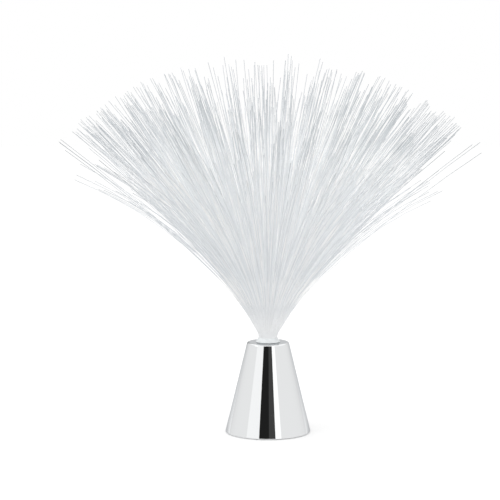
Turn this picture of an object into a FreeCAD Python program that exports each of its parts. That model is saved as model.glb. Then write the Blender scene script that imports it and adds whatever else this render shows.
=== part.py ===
"""Fibre optic table lamp: a plated cone with batteries and three LEDs, and a plug-in spray of plastic fibres.

Millimetres, +Z up. The origin is the centre of the circle that the lamp stands on; the front faces -Y.
"""
import FreeCAD, Part
import math
import os
import random

V = FreeCAD.Vector
X_AXIS = V(1, 0, 0)
Y_AXIS = V(0, 1, 0)
Z_AXIS = V(0, 0, 1)

# --- Cone shell ---------------------------------------------------------------
CONE_FOOT_RADIUS = 37.5      # outside, at the lower edge
CONE_TOP_RADIUS = 18.25      # outside, where the slope would meet the top face
CONE_TOP = 80.0              # height of the top face above the table
CONE_LIFT = 0.6              # lower edge above the table
CONE_WALL = 2.0              # measured level
CONE_TOP_PLATE = 2.4
CONE_RIM_ROUND = 1.8
CONE_EDGE_ROUND = 0.5
HOLDER_BOSS_RADIUS = 2.3
HOLDER_BOSS_MARGIN = 0.4     # boss to the inside of the wall
HOLDER_BOSS_LENGTH = 7.4
HOLDER_BOSS_COUNT = 3
HOLDER_BOSS_TURN = 30.0      # degrees, first boss from +X
BASE_BOSS_RADIUS = 2.8
BASE_BOSS_LENGTH = 19.0

# --- Screws -------------------------------------------------------------------
SCREW_RADIUS = 1.0
SCREW_HEAD_RADIUS = 2.0
SCREW_HEAD_HEIGHT = 1.4
SCREW_SLOT_WIDTH = 0.6
SCREW_SLOT_DEPTH = 0.7
SCREW_THREAD_GAP = 0.03      # pilot hole to thread, radial
SCREW_HOLE_GAP = 0.2         # clearance hole to thread, radial
PILOT_EXTRA_DEPTH = 1.0
BASE_SCREW_LENGTH = 9.0
HOLDER_SCREW_LENGTH = 7.0
BOARD_SCREW_LENGTH = 6.0
SWITCH_SCREW_RADIUS = 0.7
SWITCH_SCREW_LENGTH = 2.2
SWITCH_SCREW_HEAD_RADIUS = 1.3
SWITCH_SCREW_HEAD_HEIGHT = 0.8

# --- Fibre spray --------------------------------------------------------------
FIBRE_COUNT = 760
FIBRE_DIAMETER = 0.45
FIBRE_PITCH = 0.28           # spiral constant of the packed roots
FIBRE_SPIRAL_START = 1.5     # keeps the middle of the spiral from crowding
FIBRE_LENGTH = 251.7         # of the longest, from the resin to the tip
FIBRE_SHORTFALL = 30.0       # how much shorter the shortest are
FIBRE_STRAIGHT = 3.0         # upright run inside the collar
FIBRE_MOUTH_BEND = 6.0       # length of the tight bend at the collar's mouth
FIBRE_LOWER_BEND = 62.0      # length of the bend above it
FIBRE_MOUTH_SHARE = 0.52     # share of the whole lean taken at the mouth
FIBRE_LOWER_SHARE = 0.31     # share taken along the lower bend
FIBRE_LEAN = 51.0            # degrees at the tip, for the outermost of the field
FIBRE_LEAN_POWER = 0.65      # how the lean grows from the middle outwards
FIBRE_LEAN_SCATTER = 1.0     # degrees either way, of lean and across it
OUTER_FIBRE_COUNT = 24
OUTER_FIBRE_LEAN = 57.0      # degrees at the tip, for the widest of the outer ones
OUTER_FIBRE_SCATTER = 4.0    # degrees down from the widest
SPREAD_FIBRE_STEP = 20       # every so many fibres, one belongs to the evenly spread set
FIELD_TIERS = ["core", "inner", "low", "middle", "broad", "wide", "rim"]   # the others, outwards
TUFT_COUNT = 120             # groups of fibres that cling together towards their tips
TUFT_LEAN = 51.0             # degrees, of the outermost tufts
TUFT_GAIN = 1.6              # last arc's bend for each degree to the tuft's middle
TUFT_WANDER = 0.8            # degrees that the last arc bends at random, either way
FIBRE_SEED = 5
GOLDEN_ANGLE = 180.0 * (3.0 - math.sqrt(5.0))
LENGTH_SEQUENCE = 0.7548776662   # plastic-number steps: even, never repeating
LEAN_SEQUENCE = 0.5698402910

# --- Spray head ---------------------------------------------------------------
RESIN_MARGIN = 0.03          # outermost fibre to the side of the resin block
GLUE_GAP = 0.02
FERRULE_WALL = 1.0
FERRULE_LENGTH = 23.0        # below the cone's top face
COLLAR_SEAT_GAP = 0.1        # collar above the cone's top face
COLLAR_HEIGHT = 3.6
COLLAR_FOOT_RADIUS = 10.5
COLLAR_TOP_WALL = 0.5
COLLAR_BORE_GAP = 0.1        # collar's bore outside the ferrule's
COLLAR_EDGE_ROUND = 0.2

# --- Lamp holder, grip ring and reflector sleeve ------------------------------
NECK_BORE_GAP = 0.5          # cone's hole to the ferrule, radial
HOLDER_BORE_GAP = 0.15
HOLDER_WALL = 1.1
HOLDER_NECK_WALL = 2.0
HOLDER_NECK_GAP = 0.3        # below the cone's top plate
HOLDER_FLANGE = 2.2
HOLDER_FLANGE_MARGIN = 2.4   # flange edge outside the screw circle
HOLDER_LUG_RADIUS = 2.6
HOLDER_LUG_HEIGHT = 6.0
HOLDER_LUG_SINK = 0.8        # how far the lugs run into the tube
GRIP_RING_HEIGHT = 2.5
GRIP_RING_WALL = 1.68
GRIP_RING_RISE = 4.0         # above the ferrule's lower end
GRIP_RING_GAP = 0.02         # to the ferrule, radial
GRIP_SEAT_GAP = 0.05         # to its seat, radial
GRIP_END_GAP = 0.1
SLEEVE_BORE_GAP = 0.2        # to the ferrule, radial
SLEEVE_GAP = 0.1             # to its seat, radial

# --- LED board ----------------------------------------------------------------
LED_RADIUS = 2.5
LED_FLANGE_RADIUS = 2.9
LED_FLANGE_HEIGHT = 1.0
LED_HEIGHT = 8.7
LED_GAP = 2.3                # LED tops to the polished fibre ends
LED_CIRCLE = 4.0
LED_TURN = 90.0
LED_COUNT = 3
LED_LEAD_RADIUS = 0.3
LED_LEAD_SPACING = 2.54
LED_LEAD_STUB = 1.2
LED_LEAD_HOLE_GAP = 0.05
BOARD_THICKNESS = 1.6
CHIP_LENGTH = 4.9
CHIP_WIDTH = 3.9
CHIP_HEIGHT = 1.5
RESISTOR_LENGTH = 2.0
RESISTOR_WIDTH = 1.2
RESISTOR_HEIGHT = 0.5
RESISTOR_CIRCLE = 8.5
RESISTOR_TURN = 30.0
WIRE_PAD_CIRCLE = 8.0
WIRE_PAD_TURN = 30.0         # degrees below the X axis, either side

# --- Base plate ---------------------------------------------------------------
FOOT_PAD_HEIGHT = 1.0
FOOT_PAD_RADIUS = 2.3
FOOT_PAD_MARGIN = 0.4        # pad to the edge of the base plate
FOOT_PAD_COUNT = 4
BASE_PLATE_THICKNESS = 2.0
BASE_PLATE_GAP = 0.2         # to the inside of the cone
BASE_SCREW_INSET = 5.9       # screw's axis to the inside of the cone, at the plate
BASE_SCREW_TURN = 40.0       # degrees either side of the X axis
BASE_SCREW_PAD_RADIUS = 3.4
BASE_SCREW_PAD_HEIGHT = 1.6
BASE_SCREW_SINK = 0.1        # heads above the plate's underside
BASE_SCREW_HEAD_GAP = 0.3

# --- Batteries and their bay --------------------------------------------------
CELL_RADIUS = 5.25
CELL_LENGTH = 44.5
CELL_NUB_RADIUS = 1.9
CELL_NUB_LENGTH = 1.0
CELL_EDGE_ROUND = 0.4
CELL_COUNT = 3
CELL_SPACING = 10.9
CELL_SIDE_GAP = 0.4
CELL_DOOR_GAP = 0.3
CELL_ROOF_GAP = 0.3
BAY_WALL = 1.4
BAY_END_ROUND = 3.0          # upright outer corners
BAY_LEDGE = 0.65             # the door's seat all round the bay
BAY_LEDGE_GAP = 0.2          # door's inner face to the ledge
CONTACT_THICKNESS = 0.4
CONTACT_WIDTH = 8.6
CONTACT_MARGIN = 0.7         # contact plates above the door and below the roof
CONTACT_BUMP_RADIUS = 2.0
CONTACT_BUMP_HEIGHT = 0.6
CONTACT_TAB_WIDTH = 2.4
CONTACT_TAB_RISE = 2.6       # above the bay's roof
CONTACT_TAB_GAP = 0.15
SPRING_LENGTH = 4.1          # between contact plate and cell
SPRING_WIRE_RADIUS = 0.3
SPRING_WIDE_RADIUS = 3.4
SPRING_NARROW_RADIUS = 2.4
SPRING_TURNS = 3.0
SPRING_END_GAP = 0.05

# --- Battery door -------------------------------------------------------------
DOOR_THICKNESS = 1.6
DOOR_GAP = 0.25
DOOR_RECESS_EXTRA = 0.15     # recess outside the ledge, at the door's ends
HINGE_RADIUS = 1.2
HINGE_PIN_RADIUS = 0.6
HINGE_PIN_GAP = 0.05
HINGE_PIN_SEAT_GAP = 0.02
HINGE_PIN_END_GAP = 0.2
HINGE_BAY_GAP = 0.2          # barrel to the outside of the bay
HINGE_NOTCH_GAP = 0.3
HINGE_ARM_INNER = 3.0
HINGE_ARM_WIDTH = 4.0
HINGE_SIDE_GAP = 0.3
HINGE_LUG_WIDTH = 2.7
HINGE_LUG_RISE = 1.0         # lugs above the plate
SNAP_TAB_WIDTH = 9.0
SNAP_TAB_LENGTH = 6.5
SNAP_SLIT = 0.8
SNAP_RIB_RADIUS = 0.35
SNAP_RIB_GAP = 0.15
FINGER_NOTCH_LENGTH = 2.2
FINGER_NOTCH_DEPTH = 1.0
DOOR_GRIP_COUNT = 4
DOOR_GRIP_WIDTH = 6.0
DOOR_GRIP_GROOVE = 0.5
DOOR_GRIP_SPACING = 1.1

# --- Slide switch -------------------------------------------------------------
SWITCH_BAY_GAP = 3.55        # switch to the outside of the battery bay
SWITCH_WIDTH = 6.0
SWITCH_LENGTH = 12.0
SWITCH_HEIGHT = 5.0
SWITCH_EAR_LENGTH = 19.0
SWITCH_EAR_THICKNESS = 0.6
SWITCH_SCREW_SPACING = 15.5
SWITCH_TRAVEL = 2.5
SWITCH_TERMINAL_COUNT = 3
SWITCH_TERMINAL_SPACING = 3.0
SWITCH_TERMINAL_HEIGHT = 2.4
SWITCH_TERMINAL_WIDTH = 1.2
SWITCH_TERMINAL_THICKNESS = 0.4
KNOB_SLIDER_WIDTH = 3.6
KNOB_SLIDER_LENGTH = 4.4
KNOB_SLIDER_HEIGHT = 1.6
KNOB_STEM_WIDTH = 2.4
KNOB_STEM_LENGTH = 2.6
KNOB_TIP_SINK = 0.15         # knob's tip above the plate's underside
KNOB_GAP = 0.2
KNOB_RIB_COUNT = 3
KNOB_RIB_WIDTH = 0.3
KNOB_RIB_DEPTH = 0.25
SWITCH_POCKET_MARGIN = 2.2   # finger pocket round the knob's slot
SWITCH_POCKET_DEPTH = 1.0

# --- Wires --------------------------------------------------------------------
WIRE_RADIUS = 0.6
WIRE_RUN_ABOVE_BAY = 1.0     # wire's underside above the bay's roof
WIRE_ARC_SHARE = 0.45        # of the shorter run, taken by each bend
WIRE_BOARD_APPROACH = 9.0    # last upright run, up to the board
POSITIVE_RUN = 11.0          # plus wire, level over the bay from its tab
POSITIVE_DRIFT = 18.0        # plus wire, sideways from its tab to its high bend
POSITIVE_RISE = 2.0
POSITIVE_OVERSHOOT = 3.0     # high bend behind the switch's terminal
TERMINAL_DROP = 3.0          # plus wire, above the bay run where it comes down to the switch
SWITCHED_RISE = 9.0          # switched wire, upright from its terminal
SWITCHED_SWING_X = 4.0       # switched wire's bend beside its board pad
SWITCHED_SWING_Y = 1.0
NEGATIVE_RUN = 8.0           # minus wire, level over the bay from its tab
NEGATIVE_BEND_RUN = 14.0     # minus wire, from its tab to the foot of its climb
NEGATIVE_DRIFT = 6.0
NEGATIVE_RISE = 6.0
NEGATIVE_SWING = 2.0         # minus wire's bend in front of its board pad

# --- Heights and radii that follow --------------------------------------------
PLATE_BOTTOM = FOOT_PAD_HEIGHT
PLATE_TOP = PLATE_BOTTOM + BASE_PLATE_THICKNESS
BASE_BOSS_BOTTOM = PLATE_TOP + BASE_SCREW_PAD_HEIGHT
CONE_SLOPE = (CONE_FOOT_RADIUS - CONE_TOP_RADIUS) / (CONE_TOP - CONE_LIFT)   # radius lost per height
CONE_INSIDE_AT_PLATE = CONE_FOOT_RADIUS - CONE_SLOPE * (PLATE_TOP - CONE_LIFT) - CONE_WALL
PLATE_RADIUS = CONE_INSIDE_AT_PLATE - BASE_PLATE_GAP
BASE_SCREW_CIRCLE = CONE_INSIDE_AT_PLATE - BASE_SCREW_INSET
FOOT_PAD_CIRCLE = PLATE_RADIUS - FOOT_PAD_RADIUS - FOOT_PAD_MARGIN
TOP_PLATE_UNDERSIDE = CONE_TOP - CONE_TOP_PLATE
FLANGE_TOP = TOP_PLATE_UNDERSIDE - HOLDER_BOSS_LENGTH
FLANGE_BOTTOM = FLANGE_TOP - HOLDER_FLANGE
FERRULE_BOTTOM = CONE_TOP - FERRULE_LENGTH
SPRAY_SEAT = CONE_TOP + COLLAR_SEAT_GAP
COLLAR_TOP = SPRAY_SEAT + COLLAR_HEIGHT
BOARD_TOP = FERRULE_BOTTOM - LED_GAP - LED_HEIGHT
BOARD_BOTTOM = BOARD_TOP - BOARD_THICKNESS
GRIP_RING_BOTTOM = FERRULE_BOTTOM + GRIP_RING_RISE
GRIP_RING_TOP = GRIP_RING_BOTTOM + GRIP_RING_HEIGHT
SLEEVE_TOP = GRIP_RING_BOTTOM - GRIP_END_GAP
GRIP_SEAT_TOP = GRIP_RING_TOP + GRIP_END_GAP

FIBRE_RADIUS = FIBRE_DIAMETER / 2.0
BUNDLE_RADIUS = FIBRE_PITCH * math.sqrt(FIBRE_COUNT - 1 + FIBRE_SPIRAL_START)
RESIN_RADIUS = BUNDLE_RADIUS + FIBRE_RADIUS + RESIN_MARGIN
FERRULE_BORE = RESIN_RADIUS + GLUE_GAP
FERRULE_RADIUS = FERRULE_BORE + FERRULE_WALL
NECK_BORE = FERRULE_RADIUS + NECK_BORE_GAP
HOLDER_BORE = FERRULE_RADIUS + HOLDER_BORE_GAP
GRIP_RING_BORE = FERRULE_RADIUS + GRIP_RING_GAP
GRIP_RING_RADIUS = GRIP_RING_BORE + GRIP_RING_WALL
GRIP_SEAT_RADIUS = GRIP_RING_RADIUS + GRIP_SEAT_GAP
HOLDER_RADIUS = GRIP_SEAT_RADIUS + HOLDER_WALL
HOLDER_NECK_RADIUS = HOLDER_BORE + HOLDER_NECK_WALL
SLEEVE_RADIUS = GRIP_SEAT_RADIUS - SLEEVE_GAP
SLEEVE_BORE = FERRULE_RADIUS + SLEEVE_BORE_GAP
HOLDER_LUG_X = HOLDER_RADIUS + HOLDER_LUG_RADIUS - HOLDER_LUG_SINK

DOOR_BOTTOM = PLATE_BOTTOM
DOOR_TOP = DOOR_BOTTOM + DOOR_THICKNESS
BAY_FLOOR = DOOR_TOP + BAY_LEDGE_GAP
CELL_AXIS_Z = DOOR_TOP + CELL_DOOR_GAP + CELL_RADIUS
BAY_ROOF_UNDERSIDE = CELL_AXIS_Z + CELL_RADIUS + CELL_ROOF_GAP
BAY_ROOF_TOP = BAY_ROOF_UNDERSIDE + BAY_WALL
BAY_HALF_WIDTH = CELL_SPACING * (CELL_COUNT - 1) / 2.0 + CELL_RADIUS + CELL_SIDE_GAP
CELL_END_ROOM = CONTACT_THICKNESS + CONTACT_BUMP_HEIGHT
BAY_LENGTH = CELL_END_ROOM + CELL_LENGTH + SPRING_LENGTH + CONTACT_THICKNESS
BAY_HALF_LENGTH = BAY_LENGTH / 2.0
RECESS_HALF_WIDTH = BAY_HALF_WIDTH + BAY_LEDGE
RECESS_HALF_LENGTH = BAY_HALF_LENGTH + BAY_LEDGE + DOOR_RECESS_EXTRA
HINGE_Y = BAY_HALF_LENGTH + BAY_WALL + HINGE_BAY_GAP + HINGE_RADIUS
HINGE_Z = DOOR_BOTTOM + HINGE_RADIUS
HINGE_NOTCH_HALF_WIDTH = HINGE_ARM_INNER + HINGE_ARM_WIDTH + HINGE_SIDE_GAP
HINGE_NOTCH_END = HINGE_Y + HINGE_RADIUS + HINGE_NOTCH_GAP
HINGE_LUG_END = HINGE_NOTCH_HALF_WIDTH + HINGE_LUG_WIDTH

SWITCH_X = BAY_HALF_WIDTH + BAY_WALL + SWITCH_BAY_GAP + SWITCH_WIDTH / 2.0
SWITCH_EAR_TOP = PLATE_TOP + SWITCH_EAR_THICKNESS
SWITCH_TOP = PLATE_TOP + SWITCH_HEIGHT
KNOB_Y = -SWITCH_TRAVEL / 2.0
SWITCH_SLOT_LENGTH = KNOB_STEM_LENGTH + SWITCH_TRAVEL + 2.0 * KNOB_GAP
SWITCH_SLOT_WIDTH = KNOB_STEM_WIDTH + 2.0 * KNOB_GAP
WIRE_BAY_Z = BAY_ROOF_TOP + WIRE_RUN_ABOVE_BAY + WIRE_RADIUS


# --- Small helpers ------------------------------------------------------------
def cylinder(radius, bottom, top, x=0.0, y=0.0):
    """An upright cylinder from bottom to top at (x, y)."""
    return Part.makeCylinder(radius, top - bottom, V(x, y, bottom))


def tube(radius, bore, bottom, top):
    """An upright tube on the lamp's axis."""
    return cylinder(radius, bottom, top).cut(cylinder(bore, bottom, top))


def block(x_range, y_range, z_range):
    """A box given by its low and high coordinates."""
    low = V(x_range[0], y_range[0], z_range[0])
    high = V(x_range[1], y_range[1], z_range[1])
    size = high - low
    return Part.makeBox(size.x, size.y, size.z, low)


def centred(middle, width):
    """The low and high coordinates of a width about its middle."""
    return (middle - width / 2.0, middle + width / 2.0)


def on_circle(radius, degrees):
    """The (x, y) of a point on a circle about the lamp's axis."""
    angle = math.radians(degrees)
    return radius * math.cos(angle), radius * math.sin(angle)


def spread(count, first):
    """The directions, in degrees, of count things spaced evenly round the axis."""
    return [first + 360.0 * number / count for number in range(count)]


def fused(shapes):
    """One solid from overlapping shapes, with leftover seams removed."""
    return shapes[0].multiFuse(shapes[1:]).removeSplitter()


def revolved(points):
    """A solid of revolution about the lamp's axis from (radius, height) corners."""
    corners = [V(radius, 0, height) for radius, height in points]
    outline = Part.makePolygon(corners + corners[:1])
    return Part.Face(outline).revolve(V(0, 0, 0), Z_AXIS, 360)


def circular_edges(shape, radius, height, tolerance=1e-3):
    """The whole-circle edges of one radius at one height."""
    found = []
    for edge in shape.Edges:
        is_circle = isinstance(edge.Curve, Part.Circle)
        if is_circle and abs(edge.Curve.Radius - radius) < tolerance and \
                abs(edge.Curve.Center.z - height) < tolerance:
            found.append(edge)
    return found


def cone_radius(height):
    """The cone's outside radius at a height."""
    return CONE_FOOT_RADIUS - CONE_SLOPE * (height - CONE_LIFT)


def frustum(inset, bottom, top):
    """The cone's own taper, moved in by inset, between two heights."""
    wide = cone_radius(bottom) - inset
    narrow = cone_radius(top) - inset
    return Part.makeCone(wide, narrow, top - bottom, V(0, 0, bottom))


def slotted_screw(x, y, seat, direction, length, radius, head_radius, head_height):
    """A slotted screw whose head lies against seat, its shank running in direction (+1 up, -1 down)."""
    head_end = seat - direction * head_height
    shank_end = seat + direction * length
    head = cylinder(head_radius, min(head_end, seat), max(head_end, seat), x, y)
    shank = cylinder(radius, min(seat, shank_end), max(seat, shank_end), x, y)
    slot_floor = head_end + direction * SCREW_SLOT_DEPTH
    slot = block(centred(x, 2.0 * head_radius), centred(y, SCREW_SLOT_WIDTH),
                 (min(head_end, slot_floor), max(head_end, slot_floor)))
    return fused([head, shank]).cut(slot)


def route_tube(points, radius):
    """A wire: straight runs between the points, joined by tangent arcs as large as the runs allow."""
    corners = [V(*point) for point in points]
    edges = []
    start = corners[0]
    for before, corner, after in zip(corners, corners[1:], corners[2:]):
        arriving = (corner - before).normalize()
        leaving = (after - corner).normalize()
        turn = arriving.getAngle(leaving)
        reach = WIRE_ARC_SHARE * min((corner - before).Length, (after - corner).Length)
        bend_radius = reach / math.tan(turn / 2.0)
        bend_start = corner - arriving * reach
        bend_end = corner + leaving * reach
        inward = (leaving - arriving).normalize()
        centre = corner + inward * (bend_radius / math.cos(turn / 2.0))
        middle = centre - inward * bend_radius
        edges.append(Part.LineSegment(start, bend_start).toShape())
        edges.append(Part.Arc(bend_start, middle, bend_end).toShape())
        start = bend_end
    edges.append(Part.LineSegment(start, corners[-1]).toShape())
    section = Part.Wire([Part.Circle(corners[0], corners[1] - corners[0], radius).toShape()])
    return Part.Wire(edges).makePipe(Part.Face(section))


# --- Places shared by several pieces ------------------------------------------
def holder_screw_places():
    """Where the three screws stand that hold the lamp holder under the cone's top plate."""
    inside = cone_radius(TOP_PLATE_UNDERSIDE) - CONE_WALL
    circle = inside - HOLDER_BOSS_RADIUS - HOLDER_BOSS_MARGIN
    return [on_circle(circle, turn) for turn in spread(HOLDER_BOSS_COUNT, HOLDER_BOSS_TURN)]


def base_screw_places():
    """Where the four screws stand that close the cone with the base plate."""
    turns = [BASE_SCREW_TURN, 180.0 - BASE_SCREW_TURN, 180.0 + BASE_SCREW_TURN, -BASE_SCREW_TURN]
    return [on_circle(BASE_SCREW_CIRCLE, turn) for turn in turns]


def board_screw_places():
    """Where the two screws stand that hold the LED board under the lamp holder."""
    return [(-HOLDER_LUG_X, 0.0), (HOLDER_LUG_X, 0.0)]


def switch_screw_places():
    """Where the two small screws stand that hold the switch."""
    return [(SWITCH_X, -SWITCH_SCREW_SPACING / 2.0), (SWITCH_X, SWITCH_SCREW_SPACING / 2.0)]


def foot_pad_places():
    """Where the foot pads are stuck on."""
    return [on_circle(FOOT_PAD_CIRCLE, turn) for turn in spread(FOOT_PAD_COUNT, 0.0)]


def led_turns():
    """The directions of the LEDs from the lamp's axis, in degrees."""
    return spread(LED_COUNT, LED_TURN)


def led_lead_places():
    """Where the LEDs' leads pass through the board."""
    places = []
    for turn in led_turns():
        x, y = on_circle(LED_CIRCLE, turn)
        along_x, along_y = on_circle(LED_LEAD_SPACING / 2.0, turn + 90.0)
        places += [(x - along_x, y - along_y), (x + along_x, y + along_y)]
    return places


def cell_places():
    """The cells' X places with the sign of the end that their plus nub points to."""
    places = []
    for number in range(CELL_COUNT):
        x = (number - (CELL_COUNT - 1) / 2.0) * CELL_SPACING
        places.append((x, 1 if number % 2 == 0 else -1))
    return places


# --- Cone ---------------------------------------------------------------------
def cone_shell():
    """The plated plastic cone: wall, top plate with the spray's hole, and the screw bosses inside."""
    outside = frustum(0.0, CONE_LIFT, CONE_TOP)
    outside = outside.makeFillet(CONE_RIM_ROUND, circular_edges(outside, CONE_TOP_RADIUS, CONE_TOP))
    outside = outside.makeFillet(CONE_EDGE_ROUND, circular_edges(outside, CONE_FOOT_RADIUS, CONE_LIFT))
    shell = outside.cut(frustum(CONE_WALL, CONE_LIFT, TOP_PLATE_UNDERSIDE))
    bosses = []
    for x, y in holder_screw_places():
        bosses.append(cylinder(HOLDER_BOSS_RADIUS, FLANGE_TOP, CONE_TOP - CONE_TOP_PLATE / 2.0, x, y))
    within = frustum(CONE_WALL / 2.0, CONE_LIFT, CONE_TOP)
    for x, y in base_screw_places():
        post = cylinder(BASE_BOSS_RADIUS, BASE_BOSS_BOTTOM, BASE_BOSS_BOTTOM + BASE_BOSS_LENGTH, x, y)
        bosses.append(post.common(within))
    shell = fused([shell] + bosses)
    shell = shell.cut(cylinder(NECK_BORE, TOP_PLATE_UNDERSIDE, CONE_TOP))
    pilot = SCREW_RADIUS + SCREW_THREAD_GAP
    for x, y in holder_screw_places():
        depth = HOLDER_SCREW_LENGTH - HOLDER_FLANGE + PILOT_EXTRA_DEPTH
        shell = shell.cut(cylinder(pilot, FLANGE_TOP, FLANGE_TOP + depth, x, y))
    for x, y in base_screw_places():
        depth = base_screw_seat() + BASE_SCREW_LENGTH + PILOT_EXTRA_DEPTH
        shell = shell.cut(cylinder(pilot, BASE_BOSS_BOTTOM, depth, x, y))
    return shell


def base_screw_seat():
    """Height of the shoulder that the base screws' heads bear on."""
    return PLATE_BOTTOM + BASE_SCREW_SINK + SCREW_HEAD_HEIGHT


# --- Lamp holder and what it carries ------------------------------------------
def lamp_holder():
    """The socket under the top plate: bore for the spray, seat for the grip ring, flange and board lugs."""
    flange_radius = math.hypot(*holder_screw_places()[0]) + HOLDER_FLANGE_MARGIN
    neck_top = TOP_PLATE_UNDERSIDE - HOLDER_NECK_GAP
    body = revolved([
        (GRIP_SEAT_RADIUS, BOARD_TOP), (HOLDER_RADIUS, BOARD_TOP), (HOLDER_RADIUS, FLANGE_BOTTOM),
        (flange_radius, FLANGE_BOTTOM), (flange_radius, FLANGE_TOP), (HOLDER_NECK_RADIUS, FLANGE_TOP),
        (HOLDER_NECK_RADIUS, neck_top), (HOLDER_BORE, neck_top),
        (HOLDER_BORE, GRIP_SEAT_TOP), (GRIP_SEAT_RADIUS, GRIP_SEAT_TOP)])
    lugs = [cylinder(HOLDER_LUG_RADIUS, BOARD_TOP, BOARD_TOP + HOLDER_LUG_HEIGHT, x, y)
            for x, y in board_screw_places()]
    body = fused([body] + lugs).cut(cylinder(GRIP_SEAT_RADIUS, BOARD_TOP, GRIP_SEAT_TOP))
    for x, y in holder_screw_places():
        body = body.cut(cylinder(SCREW_RADIUS + SCREW_HOLE_GAP, FLANGE_BOTTOM, FLANGE_TOP, x, y))
    pilot_top = BOARD_BOTTOM + BOARD_SCREW_LENGTH + PILOT_EXTRA_DEPTH
    for x, y in board_screw_places():
        body = body.cut(cylinder(SCREW_RADIUS + SCREW_THREAD_GAP, BOARD_TOP, pilot_top, x, y))
    return body


def grip_ring():
    """The rubber ring that grips the spray's ferrule and turns with it."""
    return tube(GRIP_RING_RADIUS, GRIP_RING_BORE, GRIP_RING_BOTTOM, GRIP_RING_TOP)


def reflector_sleeve():
    """The white tube round the LEDs, which also keeps the grip ring up in its seat."""
    return tube(SLEEVE_RADIUS, SLEEVE_BORE, BOARD_TOP, SLEEVE_TOP)


def led_board():
    """The round circuit board with two screw ears."""
    shapes = [cylinder(HOLDER_RADIUS, BOARD_BOTTOM, BOARD_TOP)]
    for x, y in board_screw_places():
        shapes.append(cylinder(HOLDER_LUG_RADIUS, BOARD_BOTTOM, BOARD_TOP, x, y))
        shapes.append(block((min(0.0, x), max(0.0, x)), centred(y, 2.0 * HOLDER_LUG_RADIUS),
                            (BOARD_BOTTOM, BOARD_TOP)))
    board = fused(shapes)
    for x, y in board_screw_places():
        board = board.cut(cylinder(SCREW_RADIUS + SCREW_HOLE_GAP, BOARD_BOTTOM, BOARD_TOP, x, y))
    for x, y in led_lead_places():
        board = board.cut(cylinder(LED_LEAD_RADIUS + LED_LEAD_HOLE_GAP, BOARD_BOTTOM, BOARD_TOP, x, y))
    return board


def led(number):
    """One round LED standing on the board: flange, body and domed lens."""
    x, y = on_circle(LED_CIRCLE, led_turns()[number])
    dome_centre = BOARD_TOP + LED_HEIGHT - LED_RADIUS
    flange = cylinder(LED_FLANGE_RADIUS, BOARD_TOP, BOARD_TOP + LED_FLANGE_HEIGHT, x, y)
    body = cylinder(LED_RADIUS, BOARD_TOP, dome_centre, x, y)
    dome = Part.makeSphere(LED_RADIUS, V(x, y, dome_centre))
    return fused([flange, body, dome])


def led_leads():
    """The LEDs' leads through the board, clipped below it."""
    return Part.makeCompound([cylinder(LED_LEAD_RADIUS, BOARD_BOTTOM - LED_LEAD_STUB, BOARD_TOP, x, y)
                              for x, y in led_lead_places()])


def control_chip():
    """The colour-changing controller on the board's underside."""
    return block(centred(0.0, CHIP_LENGTH), centred(0.0, CHIP_WIDTH),
                 (BOARD_BOTTOM - CHIP_HEIGHT, BOARD_BOTTOM))


def board_resistors():
    """One small resistor for each LED, on the board's underside."""
    shapes = []
    for turn in spread(LED_COUNT, RESISTOR_TURN):
        x, y = on_circle(RESISTOR_CIRCLE, turn)
        chip = block(centred(x, RESISTOR_WIDTH), centred(y, RESISTOR_LENGTH),
                     (BOARD_BOTTOM - RESISTOR_HEIGHT, BOARD_BOTTOM))
        shapes.append(chip.rotate(V(x, y, 0), Z_AXIS, turn))
    return Part.makeCompound(shapes)


# --- Spray --------------------------------------------------------------------
def ferrule():
    """The tube that plugs into the lamp holder."""
    return tube(FERRULE_RADIUS, FERRULE_BORE, FERRULE_BOTTOM, SPRAY_SEAT)


def bundle_end():
    """The fibres' lower ends, set in clear resin and polished flat."""
    return cylinder(RESIN_RADIUS, FERRULE_BOTTOM, SPRAY_SEAT)


def collar():
    """The tapered ring round the bundle that rests on the cone."""
    bore = FERRULE_BORE + COLLAR_BORE_GAP
    top_radius = bore + COLLAR_TOP_WALL
    ring = revolved([(bore, SPRAY_SEAT), (COLLAR_FOOT_RADIUS, SPRAY_SEAT),
                     (COLLAR_FOOT_RADIUS, SPRAY_SEAT + COLLAR_TOP_WALL),
                     (top_radius, COLLAR_TOP), (bore, COLLAR_TOP)])
    rounded = circular_edges(ring, COLLAR_FOOT_RADIUS, SPRAY_SEAT + COLLAR_TOP_WALL)
    rounded += circular_edges(ring, top_radius, COLLAR_TOP)
    return ring.makeFillet(COLLAR_EDGE_ROUND, rounded)


def is_outer_fibre(number):
    """Whether a fibre is one of the last ones, which stand off from the field."""
    return number >= FIBRE_COUNT - OUTER_FIBRE_COUNT


def fibre_throws():
    """Four even throws between -1 and 1 for each fibre, the same ones every time."""
    dice = random.Random(FIBRE_SEED)
    return [[2.0 * dice.random() - 1.0 for _ in range(4)] for _ in range(FIBRE_COUNT)]


def tuft_middles():
    """The tufts' middles as (lean cos heading, lean sin heading) in degrees, a chart of all directions."""
    middles = []
    for number in range(TUFT_COUNT):
        lean = TUFT_LEAN * math.sqrt((number + 0.5) / TUFT_COUNT)
        middles.append(V(*on_circle(lean, number * GOLDEN_ANGLE), 0))
    return middles


def fibre_direction(number, throws):
    """One fibre's lean and heading, as a point on the chart of directions."""
    root_radius = fibre_root(number).Length
    step = number * LEAN_SEQUENCE % 1.0
    lean = FIBRE_LEAN * (root_radius / BUNDLE_RADIUS) ** FIBRE_LEAN_POWER
    if is_outer_fibre(number):
        lean = OUTER_FIBRE_LEAN - OUTER_FIBRE_SCATTER * step
    chart = V(*on_circle(lean, number * GOLDEN_ANGLE), 0)
    if is_outer_fibre(number):
        return chart
    return chart + V(throws[0], throws[1], 0) * FIBRE_LEAN_SCATTER


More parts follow.
